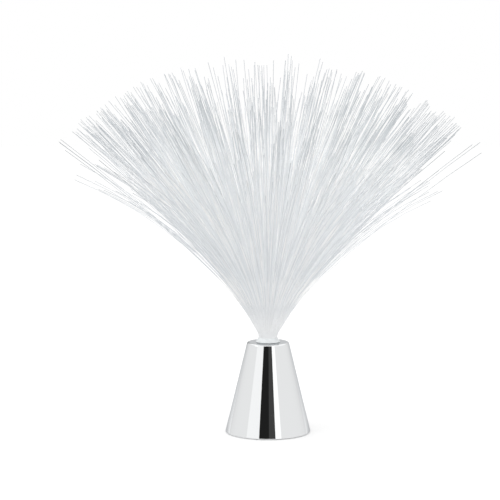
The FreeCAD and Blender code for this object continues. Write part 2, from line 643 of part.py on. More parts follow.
def fibre_tuft_bend(number, chart, throws, middles):
    """How the last arc bends besides the lean's own share: towards the nearest tuft, and at random."""
    bend = V(throws[2], throws[3], 0) * TUFT_WANDER
    if not is_outer_fibre(number):
        nearest = min(middles, key=chart.distanceToPoint)
        bend += (nearest - chart) * TUFT_GAIN
    return bend


def fibre_root(number):
    """Where a fibre stands in the resin, level with it: an even spiral from the middle outwards."""
    return V(*on_circle(FIBRE_PITCH * math.sqrt(number + FIBRE_SPIRAL_START), number * GOLDEN_ANGLE), 0)


def fibre_length(number):
    """One fibre's length: most are near the longest, a few much shorter."""
    step = number * LENGTH_SEQUENCE % 1.0
    return FIBRE_LENGTH - FIBRE_SHORTFALL * step ** 3


def bend_on(start, tangent, inwards, length, turned):
    """An arc that leaves start along tangent and bends inwards, with its end and its last heading."""
    radius = length / turned
    points = [start]
    for part in (turned / 2.0, turned):
        ahead = tangent * (radius * math.sin(part))
        across = inwards * (radius * (1.0 - math.cos(part)))
        points.append(start + ahead + across)
    return Part.Arc(*points).toShape(), points[-1], tangent * math.cos(turned) + inwards * math.sin(turned)


def fibre(number, throws, middles):
    """One fibre: upright in the collar, two arcs that lean it out in one upright plane, and a last arc."""
    chart = fibre_direction(number, throws)
    extra = fibre_tuft_bend(number, chart, throws, middles)
    lean = math.radians(chart.Length)
    out = V(chart).normalize()
    side = Z_AXIS.cross(out)
    root = fibre_root(number) + Z_AXIS * SPRAY_SEAT
    place = root + Z_AXIS * FIBRE_STRAIGHT
    heading = Z_AXIS
    edges = [Part.LineSegment(root, place).toShape()]
    for length, share in ((FIBRE_MOUTH_BEND, FIBRE_MOUTH_SHARE), (FIBRE_LOWER_BEND, FIBRE_LOWER_SHARE)):
        arc, place, heading = bend_on(place, heading, side.cross(heading), length, share * lean)
        edges.append(arc)
    last_lean = chart.Length * (1.0 - FIBRE_MOUTH_SHARE - FIBRE_LOWER_SHARE) + extra.dot(out)
    bend = side.cross(heading) * last_lean + side * extra.dot(side)
    length = fibre_length(number) - FIBRE_STRAIGHT - FIBRE_MOUTH_BEND - FIBRE_LOWER_BEND
    edges.append(bend_on(place, heading, V(bend).normalize(), length, math.radians(bend.Length))[0])
    rim = Part.Circle(root, Z_AXIS, FIBRE_RADIUS)
    section = Part.Wire([rim.toShape()])
    return Part.Wire(edges).makePipe(Part.Face(section))


def fibre_set_name(number):
    """A fibre's set: the outer ring, the few spread evenly over the fan, or a tier of the field."""
    if is_outer_fibre(number):
        return "fibres_outer"
    if number % SPREAD_FIBRE_STEP == 0:
        return "fibres_spread"
    return "fibres_" + FIELD_TIERS[number * len(FIELD_TIERS) // (FIBRE_COUNT - OUTER_FIBRE_COUNT)]


def fibre_sets():
    """All the fibres, as one group of separate solids for each set."""
    sets = {}
    middles = tuft_middles()
    for number, throws in enumerate(fibre_throws()):
        sets.setdefault(fibre_set_name(number), []).append(fibre(number, throws, middles))
    return {name: Part.makeCompound(fibres) for name, fibres in sets.items()}


# --- Base plate and what is stuck or screwed to it ----------------------------
def base_plate():
    """The round plate that closes the cone, with the battery bay moulded on it."""
    plate = cylinder(PLATE_RADIUS, PLATE_BOTTOM, PLATE_TOP)
    pads = [cylinder(BASE_SCREW_PAD_RADIUS, PLATE_BOTTOM, BASE_BOSS_BOTTOM, x, y)
            for x, y in base_screw_places()]
    bay = block(centred(0.0, 2.0 * (BAY_HALF_WIDTH + BAY_WALL)),
                centred(0.0, 2.0 * (BAY_HALF_LENGTH + BAY_WALL)), (PLATE_BOTTOM, BAY_ROOF_TOP))
    corners = [edge for edge in bay.Edges if abs(edge.tangentAt(edge.FirstParameter).z) > 0.5]
    bay = bay.makeFillet(BAY_END_ROUND, corners)
    lugs = []
    for side in (-1, 1):
        across = sorted((side * HINGE_NOTCH_HALF_WIDTH, side * HINGE_LUG_END))
        lugs.append(block(across, (HINGE_Y - HINGE_RADIUS, HINGE_NOTCH_END),
                          (PLATE_BOTTOM, PLATE_TOP + HINGE_LUG_RISE)))
    plate = fused([plate, bay] + pads + lugs)
    plate = plate.cut(bay_hollow())
    plate = plate.cut(hinge_notch())
    for x, y in base_screw_places():
        plate = plate.cut(cylinder(SCREW_RADIUS + SCREW_HOLE_GAP, PLATE_BOTTOM, BASE_BOSS_BOTTOM, x, y))
        plate = plate.cut(cylinder(SCREW_HEAD_RADIUS + BASE_SCREW_HEAD_GAP, PLATE_BOTTOM,
                                   base_screw_seat(), x, y))
    for tab_y, tab_x in contact_tab_places():
        plate = plate.cut(contact_tab_slot(tab_x, tab_y))
    return plate.cut(switch_openings())


def bay_hollow():
    """What is empty in the bay: the cells' room, the door's recess, the rib's groove and the finger notch."""
    room = block(centred(0.0, 2.0 * BAY_HALF_WIDTH), centred(0.0, 2.0 * BAY_HALF_LENGTH),
                 (PLATE_BOTTOM, BAY_ROOF_UNDERSIDE))
    recess = block(centred(0.0, 2.0 * RECESS_HALF_WIDTH), centred(0.0, 2.0 * RECESS_HALF_LENGTH),
                   (PLATE_BOTTOM, BAY_FLOOR))
    groove_radius = SNAP_RIB_RADIUS + SNAP_RIB_GAP
    groove_length = SNAP_TAB_WIDTH + 2.0 * DOOR_GAP
    groove = Part.makeCylinder(groove_radius, groove_length,
                               V(-groove_length / 2.0, snap_rib_y(), snap_rib_z()), X_AXIS)
    notch = block(centred(0.0, groove_length),
                  (-RECESS_HALF_LENGTH - FINGER_NOTCH_LENGTH, -RECESS_HALF_LENGTH),
                  (PLATE_BOTTOM, PLATE_BOTTOM + FINGER_NOTCH_DEPTH))
    return fused([room, recess, groove, notch])


def snap_rib_y():
    """The snap rib lies along the edge of the door's free end."""
    return -(RECESS_HALF_LENGTH - DOOR_GAP)


def snap_rib_z():
    """The snap rib's height: clear of the finger notch, under the door's inner face."""
    return DOOR_TOP - SNAP_RIB_RADIUS


def hinge_notch():
    """The opening in the plate that the door's hinge arms turn in, with the pin's holes."""
    notch = block(centred(0.0, 2.0 * HINGE_NOTCH_HALF_WIDTH),
                  (RECESS_HALF_LENGTH - DOOR_GAP, HINGE_NOTCH_END), (PLATE_BOTTOM, BAY_FLOOR))
    barrel_room = block(centred(0.0, 2.0 * HINGE_NOTCH_HALF_WIDTH),
                        (BAY_HALF_LENGTH + BAY_WALL, HINGE_NOTCH_END),
                        (PLATE_BOTTOM, PLATE_TOP + HINGE_LUG_RISE))
    pin_hole = Part.makeCylinder(HINGE_PIN_RADIUS + HINGE_PIN_SEAT_GAP, 2.0 * HINGE_LUG_END,
                                 V(-HINGE_LUG_END, HINGE_Y, HINGE_Z), X_AXIS)
    return fused([notch, barrel_room, pin_hole])


def switch_openings():
    """The knob's slot, the finger pocket round it, and the switch screws' holes."""
    slot = block(centred(SWITCH_X, SWITCH_SLOT_WIDTH), centred(0.0, SWITCH_SLOT_LENGTH),
                 (PLATE_BOTTOM, PLATE_TOP))
    pocket = block(centred(SWITCH_X, SWITCH_SLOT_WIDTH + 2.0 * SWITCH_POCKET_MARGIN),
                   centred(0.0, SWITCH_SLOT_LENGTH + 2.0 * SWITCH_POCKET_MARGIN),
                   (PLATE_BOTTOM, PLATE_BOTTOM + SWITCH_POCKET_DEPTH))
    shapes = [slot, pocket]
    for x, y in switch_screw_places():
        shapes.append(cylinder(SWITCH_SCREW_RADIUS + SCREW_THREAD_GAP,
                               SWITCH_EAR_TOP - SWITCH_SCREW_LENGTH, PLATE_TOP, x, y))
    return Part.makeCompound(shapes)


def base_screws():
    """Four screws through the base plate into the cone's posts."""
    return Part.makeCompound([
        slotted_screw(x, y, base_screw_seat(), 1, BASE_SCREW_LENGTH, SCREW_RADIUS, SCREW_HEAD_RADIUS,
                      SCREW_HEAD_HEIGHT)
        for x, y in base_screw_places()])


def holder_screws():
    """Three screws through the lamp holder's flange into the cone's bosses."""
    return Part.makeCompound([
        slotted_screw(x, y, FLANGE_BOTTOM, 1, HOLDER_SCREW_LENGTH, SCREW_RADIUS, SCREW_HEAD_RADIUS,
                      SCREW_HEAD_HEIGHT)
        for x, y in holder_screw_places()])


def board_screws():
    """Two screws through the LED board into the lamp holder's lugs."""
    return Part.makeCompound([
        slotted_screw(x, y, BOARD_BOTTOM, 1, BOARD_SCREW_LENGTH, SCREW_RADIUS, SCREW_HEAD_RADIUS,
                      SCREW_HEAD_HEIGHT)
        for x, y in board_screw_places()])


def switch_screws():
    """Two small screws through the switch's ears into the plate."""
    return Part.makeCompound([
        slotted_screw(x, y, SWITCH_EAR_TOP, -1, SWITCH_SCREW_LENGTH, SWITCH_SCREW_RADIUS,
                      SWITCH_SCREW_HEAD_RADIUS, SWITCH_SCREW_HEAD_HEIGHT)
        for x, y in switch_screw_places()])


def foot_pads():
    """The round pads that the lamp stands on."""
    return Part.makeCompound([cylinder(FOOT_PAD_RADIUS, 0.0, PLATE_BOTTOM, x, y)
                              for x, y in foot_pad_places()])


# --- Batteries and contacts ---------------------------------------------------
def battery_cells():
    """Three cells side by side, every second one turned end for end."""
    cells = []
    for x, plus in cell_places():
        nub_tip = plus * (BAY_HALF_LENGTH - CELL_END_ROOM)
        nub_foot = nub_tip - plus * CELL_NUB_LENGTH
        foot = V(x, nub_foot, CELL_AXIS_Z)
        body = Part.makeCylinder(CELL_RADIUS, CELL_LENGTH - CELL_NUB_LENGTH, foot, Y_AXIS * -plus)
        ends = [edge for edge in body.Edges if isinstance(edge.Curve, Part.Circle)]
        body = body.makeFillet(CELL_EDGE_ROUND, ends)
        nub = Part.makeCylinder(CELL_NUB_RADIUS, CELL_NUB_LENGTH, foot, Y_AXIS * plus)
        cells.append(fused([body, nub]))
    return Part.makeCompound(cells)


def contact_plate(low_x, high_x, end):
    """A contact plate against one end wall of the bay (end is +1 or -1), spanning cells low_x to high_x."""
    wall = end * BAY_HALF_LENGTH
    face = wall - end * CONTACT_THICKNESS
    return block((low_x - CONTACT_WIDTH / 2.0, high_x + CONTACT_WIDTH / 2.0), sorted((wall, face)),
                 (DOOR_TOP + CONTACT_MARGIN, BAY_ROOF_UNDERSIDE - CONTACT_MARGIN))


def contact_bump(x, end):
    """The pressed bump that meets a cell's plus nub."""
    foot = V(x, end * (BAY_HALF_LENGTH - CONTACT_THICKNESS), CELL_AXIS_Z)
    return Part.makeCylinder(CONTACT_BUMP_RADIUS, CONTACT_BUMP_HEIGHT, foot, Y_AXIS * -end)


def contact_tab_places():
    """The (y, x) of the two solder tabs, which stand up through the bay's roof."""
    first_x, first_plus = cell_places()[0]
    last_x, last_plus = cell_places()[-1]
    tab_y = BAY_HALF_LENGTH - CONTACT_THICKNESS / 2.0
    return [(first_plus * tab_y, first_x), (-last_plus * tab_y, last_x)]


def contact_tab(x, y):
    """A solder tab from the contact plate up through the roof."""
    return block(centred(x, CONTACT_TAB_WIDTH), centred(y, CONTACT_THICKNESS),
                 (BAY_ROOF_UNDERSIDE - 2.0 * CONTACT_MARGIN, BAY_ROOF_TOP + CONTACT_TAB_RISE))


def contact_tab_slot(x, y):
    """The slot in the bay's roof that a solder tab stands in."""
    return block(centred(x, CONTACT_TAB_WIDTH + 2.0 * CONTACT_TAB_GAP),
                 centred(y, CONTACT_THICKNESS + 2.0 * CONTACT_TAB_GAP),
                 (BAY_ROOF_UNDERSIDE, BAY_ROOF_TOP))


def contact_positive():
    """The plus terminal: plate, bump and solder tab."""
    x, plus = cell_places()[0]
    tab_y, tab_x = contact_tab_places()[0]
    return fused([contact_plate(x, x, plus), contact_bump(x, plus), contact_tab(tab_x, tab_y)])


def contact_negative():
    """The minus terminal: plate and solder tab, with a spring standing on it."""
    x, plus = cell_places()[-1]
    tab_y, tab_x = contact_tab_places()[1]
    return fused([contact_plate(x, x, -plus), contact_tab(tab_x, tab_y)])


def contact_links():
    """The plates that join each cell's minus end to the next cell's plus nub."""
    links = []
    places = cell_places()
    for (x, plus), (next_x, next_plus) in zip(places, places[1:]):
        links.append(fused([contact_plate(x, next_x, -plus), contact_bump(next_x, next_plus)]))
    return Part.makeCompound(links)


def contact_springs():
    """The tapered coil springs that press on the cells' minus ends."""
    springs = []
    height = SPRING_LENGTH - 2.0 * (SPRING_WIRE_RADIUS + SPRING_END_GAP)
    taper = math.degrees(math.atan2(SPRING_WIDE_RADIUS - SPRING_NARROW_RADIUS, height))
    coil = Part.makeHelix(height / SPRING_TURNS, height, SPRING_NARROW_RADIUS, taper)
    rim = Part.Circle(V(SPRING_NARROW_RADIUS, 0, 0), Y_AXIS, SPRING_WIRE_RADIUS)
    section = Part.Wire([rim.toShape()])
    spring = Part.Wire(coil.Edges).makePipeShell([section], True, True)
    for x, plus in cell_places():
        cell_end = plus * (BAY_HALF_LENGTH - CELL_END_ROOM - CELL_LENGTH)
        narrow_end = cell_end - plus * (SPRING_END_GAP + SPRING_WIRE_RADIUS)
        turned = FreeCAD.Placement(V(x, narrow_end, CELL_AXIS_Z), FreeCAD.Rotation(X_AXIS, 90.0 * plus))
        placed = spring.copy()
        placed.transformShape(turned.toMatrix())
        springs.append(placed)
    return Part.makeCompound(springs)


# --- Battery door -------------------------------------------------------------
def battery_door():
    """The battery door: lid with a snap tab at the front, hinge arms at the back, grip grooves outside."""
    half_width = RECESS_HALF_WIDTH - DOOR_GAP
    front = -(RECESS_HALF_LENGTH - DOOR_GAP)
    back = door_back_edge()
    shapes = [block((-half_width, half_width), (front, back), (DOOR_BOTTOM, DOOR_TOP))]
    bores = []
    for side in (-1, 1):
        across = sorted((side * HINGE_ARM_INNER, side * (HINGE_ARM_INNER + HINGE_ARM_WIDTH)))
        shapes.append(block(across, (back - DOOR_THICKNESS, HINGE_Y), (DOOR_BOTTOM, DOOR_TOP)))
        start = V(across[0], HINGE_Y, HINGE_Z)
        shapes.append(Part.makeCylinder(HINGE_RADIUS, HINGE_ARM_WIDTH, start, X_AXIS))
        bores.append(Part.makeCylinder(HINGE_PIN_RADIUS + HINGE_PIN_GAP, HINGE_ARM_WIDTH, start, X_AXIS))
    rib = Part.makeCylinder(SNAP_RIB_RADIUS, SNAP_TAB_WIDTH,
                            V(-SNAP_TAB_WIDTH / 2.0, snap_rib_y(), snap_rib_z()), X_AXIS)
    door = fused(shapes + [rib])
    for bore in bores:
        door = door.cut(bore)
    for side in (-1, 1):
        slit_x = side * (SNAP_TAB_WIDTH + SNAP_SLIT) / 2.0
        door = door.cut(block(centred(slit_x, SNAP_SLIT), (front, front + SNAP_TAB_LENGTH),
                              (DOOR_BOTTOM, DOOR_TOP)))
    for number in range(DOOR_GRIP_COUNT):
        groove_y = front + DOOR_GRIP_SPACING * (number + 1)
        door = door.cut(Part.makeCylinder(DOOR_GRIP_GROOVE / 2.0, DOOR_GRIP_WIDTH,
                                          V(-DOOR_GRIP_WIDTH / 2.0, groove_y, DOOR_BOTTOM), X_AXIS))
    return door


def door_back_edge():
    """The Y place of the lid's back edge, whose inner corner swings out past the end of the recess."""
    reach = HINGE_Y - (RECESS_HALF_LENGTH - DOOR_GAP)
    drop = HINGE_Z - PLATE_BOTTOM
    rise = DOOR_TOP - HINGE_Z
    return HINGE_Y - math.sqrt(reach ** 2 + max(0.0, drop ** 2 - rise ** 2))


def door_hinge_pin():
    """The steel pin that the door turns on, held in the base plate's lugs."""
    half_length = HINGE_LUG_END - HINGE_PIN_END_GAP
    return Part.makeCylinder(HINGE_PIN_RADIUS, 2.0 * half_length, V(-half_length, HINGE_Y, HINGE_Z), X_AXIS)


# --- Switch -------------------------------------------------------------------
def switch_housing():
    """The slide switch's body with its mounting ears, hollow for the slider."""
    body = block(centred(SWITCH_X, SWITCH_WIDTH), centred(0.0, SWITCH_LENGTH), (PLATE_TOP, SWITCH_TOP))
    ears = block(centred(SWITCH_X, SWITCH_WIDTH), centred(0.0, SWITCH_EAR_LENGTH),
                 (PLATE_TOP, SWITCH_EAR_TOP))
    slider_room = block(centred(SWITCH_X, KNOB_SLIDER_WIDTH + 2.0 * KNOB_GAP),
                        centred(0.0, KNOB_SLIDER_LENGTH + SWITCH_TRAVEL + 2.0 * KNOB_GAP),
                        (SWITCH_EAR_TOP, SWITCH_EAR_TOP + KNOB_SLIDER_HEIGHT + 2.0 * KNOB_GAP))
    stem_slot = block(centred(SWITCH_X, SWITCH_SLOT_WIDTH), centred(0.0, SWITCH_SLOT_LENGTH),
                      (PLATE_TOP, SWITCH_EAR_TOP))
    housing = fused([body, ears]).cut(slider_room).cut(stem_slot)
    for x, y in switch_screw_places():
        hole_radius = SWITCH_SCREW_RADIUS + SCREW_HOLE_GAP
        housing = housing.cut(cylinder(hole_radius, PLATE_TOP, SWITCH_EAR_TOP, x, y))
    return housing


def switch_knob():
    """The sliding knob: a block inside the housing and a ribbed stem through the plate."""
    slider_bottom = SWITCH_EAR_TOP + KNOB_GAP / 2.0
    tip = PLATE_BOTTOM + KNOB_TIP_SINK
    slider = block(centred(SWITCH_X, KNOB_SLIDER_WIDTH), centred(KNOB_Y, KNOB_SLIDER_LENGTH),
                   (slider_bottom, slider_bottom + KNOB_SLIDER_HEIGHT))
    stem = block(centred(SWITCH_X, KNOB_STEM_WIDTH), centred(KNOB_Y, KNOB_STEM_LENGTH),
                 (tip, slider_bottom))
    knob = fused([slider, stem])
    for rib in range(KNOB_RIB_COUNT):
        share = (rib + 0.5) / KNOB_RIB_COUNT - 0.5
        groove_y = KNOB_Y + share * KNOB_STEM_LENGTH
        groove = block(centred(SWITCH_X, KNOB_STEM_WIDTH), centred(groove_y, KNOB_RIB_WIDTH),
                       (tip, tip + KNOB_RIB_DEPTH))
        knob = knob.cut(groove)
    return knob


def switch_terminal_places():
    """The Y places of the switch's terminals."""
    middle = (SWITCH_TERMINAL_COUNT - 1) / 2.0
    return [(number - middle) * SWITCH_TERMINAL_SPACING for number in range(SWITCH_TERMINAL_COUNT)]


def switch_terminals():
    """The flat terminals on top of the switch."""
    return Part.makeCompound([
        block(centred(SWITCH_X, SWITCH_TERMINAL_THICKNESS), centred(y, SWITCH_TERMINAL_WIDTH),
              (SWITCH_TOP, SWITCH_TOP + SWITCH_TERMINAL_HEIGHT)) for y in switch_terminal_places()])


# --- Wires --------------------------------------------------------------------
def wire_positive():
    """From the plus terminal's tab over the bay to the switch."""
    tab_y, tab_x = contact_tab_places()[0]
    start_y = tab_y - CONTACT_THICKNESS / 2.0
    end_y = switch_terminal_places()[-1]
    end_z = SWITCH_TOP + SWITCH_TERMINAL_HEIGHT
    return route_tube([
        (tab_x, start_y, WIRE_BAY_Z),
        (tab_x, start_y - POSITIVE_RUN, WIRE_BAY_Z),
        (tab_x + POSITIVE_DRIFT, end_y + POSITIVE_OVERSHOOT, WIRE_BAY_Z + POSITIVE_RISE),
        (SWITCH_X, end_y, WIRE_BAY_Z + TERMINAL_DROP),
        (SWITCH_X, end_y, end_z)], WIRE_RADIUS)


def wire_switched():
    """From the switch up to the LED board."""
    pad_x, pad_y = on_circle(WIRE_PAD_CIRCLE, -WIRE_PAD_TURN)
    start_y = switch_terminal_places()[1]
    start_z = SWITCH_TOP + SWITCH_TERMINAL_HEIGHT
    swing = (pad_x + SWITCHED_SWING_X, pad_y - SWITCHED_SWING_Y)
    return route_tube([
        (SWITCH_X, start_y, start_z),
        (SWITCH_X, start_y, start_z + SWITCHED_RISE),
        (swing[0], swing[1], BOARD_BOTTOM - 2.0 * WIRE_BOARD_APPROACH),
        (pad_x, pad_y, BOARD_BOTTOM - WIRE_BOARD_APPROACH),
        (pad_x, pad_y, BOARD_BOTTOM)], WIRE_RADIUS)


def wire_negative():
    """From the minus terminal's tab up to the LED board."""
    pad_x, pad_y = on_circle(WIRE_PAD_CIRCLE, 180.0 + WIRE_PAD_TURN)
    tab_y, tab_x = contact_tab_places()[1]
    start_y = tab_y + CONTACT_THICKNESS / 2.0
    return route_tube([
        (tab_x, start_y, WIRE_BAY_Z),
        (tab_x, start_y + NEGATIVE_RUN, WIRE_BAY_Z),
        (tab_x - NEGATIVE_DRIFT, start_y + NEGATIVE_BEND_RUN, WIRE_BAY_Z + NEGATIVE_RISE),
        (pad_x, pad_y - NEGATIVE_SWING, BOARD_BOTTOM - 2.0 * WIRE_BOARD_APPROACH),
        (pad_x, pad_y, BOARD_BOTTOM - WIRE_BOARD_APPROACH / 2.0),
        (pad_x, pad_y, BOARD_BOTTOM)], WIRE_RADIUS)


# --- Output -------------------------------------------------------------------
def main():
    """Write each sub-part to its own STEP file."""
    parts = {
        "cone_shell": cone_shell(),
        "lamp_holder": lamp_holder(),
        "holder_screws": holder_screws(),
        "grip_ring": grip_ring(),
        "reflector_sleeve": reflector_sleeve(),
        "led_board": led_board(),
        "led_red": led(0),
        "led_green": led(1),
        "led_blue": led(2),
        "led_leads": led_leads(),
        "control_chip": control_chip(),
        "board_resistors": board_resistors(),
        "board_screws": board_screws(),
        "base_plate": base_plate(),
        "base_screws": base_screws(),
        "foot_pads": foot_pads(),
        "battery_cells": battery_cells(),
        "contact_positive": contact_positive(),
        "contact_negative": contact_negative(),
        "contact_links": contact_links(),
        "contact_springs": contact_springs(),
        "battery_door": battery_door(),
        "door_hinge_pin": door_hinge_pin(),
        "switch_housing": switch_housing(),
        "switch_knob": switch_knob(),
        "switch_terminals": switch_terminals(),
        "switch_screws": switch_screws(),
        "wire_positive": wire_positive(),
        "wire_switched": wire_switched(),
        "wire_negative": wire_negative(),
        "ferrule": ferrule(),
        "bundle_end": bundle_end(),
        "collar": collar(),
    }
    parts.update(fibre_sets())
    os.makedirs("parts", exist_ok=True)
    for name, shape in parts.items():
        shape.exportStep(f"parts/{name}.step")


main()
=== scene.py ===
"""Looks of a fibre optic table lamp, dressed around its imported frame.

Metres, +Z up. The origin is the centre of the circle that the lamp stands on; the front faces -Y.
The cone, the spray's head and everything inside are the frame's own nodes with new finishes.
The strands of the spray are worked out here, from the same spiral and the same arcs as their solids.
Further strands, which have no solids, stand between those and droop at the fan's edge.
"""
from __future__ import annotations

import logging
import math
from dataclasses import dataclass, field
from enum import Enum
from random import Random

import bpy
import numpy as np
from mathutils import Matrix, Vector

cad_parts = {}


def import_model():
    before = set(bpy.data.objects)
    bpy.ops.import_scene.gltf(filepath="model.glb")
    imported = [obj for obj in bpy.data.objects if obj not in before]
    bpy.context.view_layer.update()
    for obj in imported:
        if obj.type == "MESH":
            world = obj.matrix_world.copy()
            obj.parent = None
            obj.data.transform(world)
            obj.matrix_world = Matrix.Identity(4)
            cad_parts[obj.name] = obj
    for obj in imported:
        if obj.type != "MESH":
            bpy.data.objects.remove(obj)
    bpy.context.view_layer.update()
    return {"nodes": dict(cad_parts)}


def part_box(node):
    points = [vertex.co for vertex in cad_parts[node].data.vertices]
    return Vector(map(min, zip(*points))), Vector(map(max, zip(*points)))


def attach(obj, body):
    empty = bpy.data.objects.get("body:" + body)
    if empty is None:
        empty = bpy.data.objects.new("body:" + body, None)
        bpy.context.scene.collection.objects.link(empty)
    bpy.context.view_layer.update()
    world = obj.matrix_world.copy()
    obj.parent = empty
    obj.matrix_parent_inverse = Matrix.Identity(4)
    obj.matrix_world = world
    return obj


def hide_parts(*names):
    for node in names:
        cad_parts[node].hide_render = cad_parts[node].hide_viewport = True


log = logging.getLogger("lamp")

MM = 0.001
Colour = tuple[float, float, float]
Point = tuple[float, float, float]
Span = tuple[float, float]
Material = bpy.types.Material
Node = bpy.types.Node
Object = bpy.types.Object
Socket = bpy.types.NodeSocket


class Body(Enum):
    """The moving body of the frame that pieces made here ride with."""

    SPRAY = "spray"


# --- Node trees, materials and meshes ---
class NodeSheet:
    """A node tree that is being drawn, with short calls for adding and filling nodes."""

    def __init__(self, tree: bpy.types.NodeTree) -> None:
        """Start on a material's, a world's or a group's tree, and empty it."""
        self.tree = tree
        tree.nodes.clear()

    def add(self, kind: str, **settings: object) -> Node:
        """Add a node.

        Args:
            kind: Blender's type name of the node, without "ShaderNode".
            settings: Properties of the node itself.

        Returns:
            The new node.
        """
        name = kind if kind.startswith("NodeGroup") else "ShaderNode" + kind
        node = self.tree.nodes.new(name)
        for key, value in settings.items():
            setattr(node, key, value)
        return node

    def fill(self, target: Socket, value: object) -> None:
        """Link or set one input.

        Args:
            target: The input.
            value: A socket to link, a colour's triple or another value to set.
        """
        if isinstance(value, Socket):
            self.tree.links.new(value, target)
        elif target.type == "RGBA":
            target.default_value = (*value, 1.0)
        else:
            target.default_value = value

    def put(self, node: Node, *ordered: object, **named: object) -> Node:
        """Link or set inputs of a node.

        Args:
            node: The node.
            ordered: What its first inputs get, in their order.
            named: What others get, by their names with underscores for the spaces.

        Returns:
            The same node.
        """
        for place, value in enumerate(ordered):
            self.fill(node.inputs[place], value)
        for key, value in named.items():
            self.fill(node.inputs[key.replace("_", " ")], value)
        return node

    def place(self) -> Socket:
        """Where a point lies on the piece: its Object coordinates."""
        return self.add("TexCoord").outputs["Object"]

    def noise(self, **values: object) -> Socket:
        """A noise on Object coordinates."""
        return self.put(self.add("TexNoise"), Vector=self.place(), **values).outputs["Fac"]

    def relief(self, height: Socket, depth: float) -> Socket:
        """The normal of a bump of a real depth in metres."""
        return self.put(self.add("Bump"), Strength=1.0, Distance=depth, Height=height).outputs["Normal"]

    def arithmetic(self, operation: str, first: object, second: object = 0.0,
                   clamp: bool = False) -> Socket:
        """A Math node on two sockets or numbers.

        Args:
            operation: Blender's name of the operation.
            first: A socket or a number.
            second: A socket or a number.
            clamp: Whether the result is kept between 0 and 1.

        Returns:
            The result's socket.
        """
        node = self.add("Math", operation=operation, use_clamp=clamp)
        return self.put(node, first, second).outputs[0]

    def band(self, value: Socket, low: float, high: float, start: float = 0.0, end: float = 1.0) -> Socket:
        """A smooth step.

        Args:
            value: What the step follows.
            low: Where it begins.
            high: Where it ends.
            start: The result up to low.
            end: The result from high on.

        Returns:
            The result's socket.
        """
        node = self.add("MapRange", interpolation_type="SMOOTHSTEP")
        self.put(node, Value=value, From_Min=low, From_Max=high, To_Min=start, To_Max=end)
        return node.outputs["Result"]

    def tint(self, share: Socket, first: object, second: object) -> Socket:
        """A mix of two colours.

        Args:
            share: How much of the second colour, from 0 to 1.
            first: A socket or a triple.
            second: A socket or a triple.

        Returns:
            The mixed colour's socket.
        """
        node = self.put(self.add("Mix", data_type="RGBA"), Factor=share)
        for name, value in (("A", first), ("B", second)):
            self.fill(next(s for s in node.inputs if s.name == name and s.type == "RGBA"), value)
        return next(s for s in node.outputs if s.type == "RGBA")


def blank_material(name: str) -> tuple[Material, NodeSheet]:
    """Start a material.

    Args:
        name: Its name.

    Returns:
        The material and its empty sheet.
    """
    material = bpy.data.materials.new(name)
    material.use_nodes = True
    return material, NodeSheet(material.node_tree)


def mesh_object(name: str, points: np.ndarray | list, faces: np.ndarray | list) -> Object:
    """Make a mesh object at the origin and link it to the scene.

    Args:
        name: Its name.
        points: Its points.
        faces: Each face's points by number.

    Returns:
        The object.
    """
    mesh = bpy.data.meshes.new(name)
    mesh.from_pydata(points, [], [*map(tuple, faces)])
    made = bpy.data.objects.new(name, mesh)
    bpy.context.collection.objects.link(made)
    return made


def shade(colour: Colour, gain: float, lift: float = 0.0) -> Colour:
    """A colour times a gain, plus a lift, at most white."""
    return tuple(min(1.0, channel * gain + lift) for channel in colour)


# --- Effects shared by the finishes ---
class Effect(Enum):
    """The shared effects, each a node group."""

    GRAIN = "surface_grain"
    SMUDGE = "handling_smudge"
    DUST = "settled_dust"


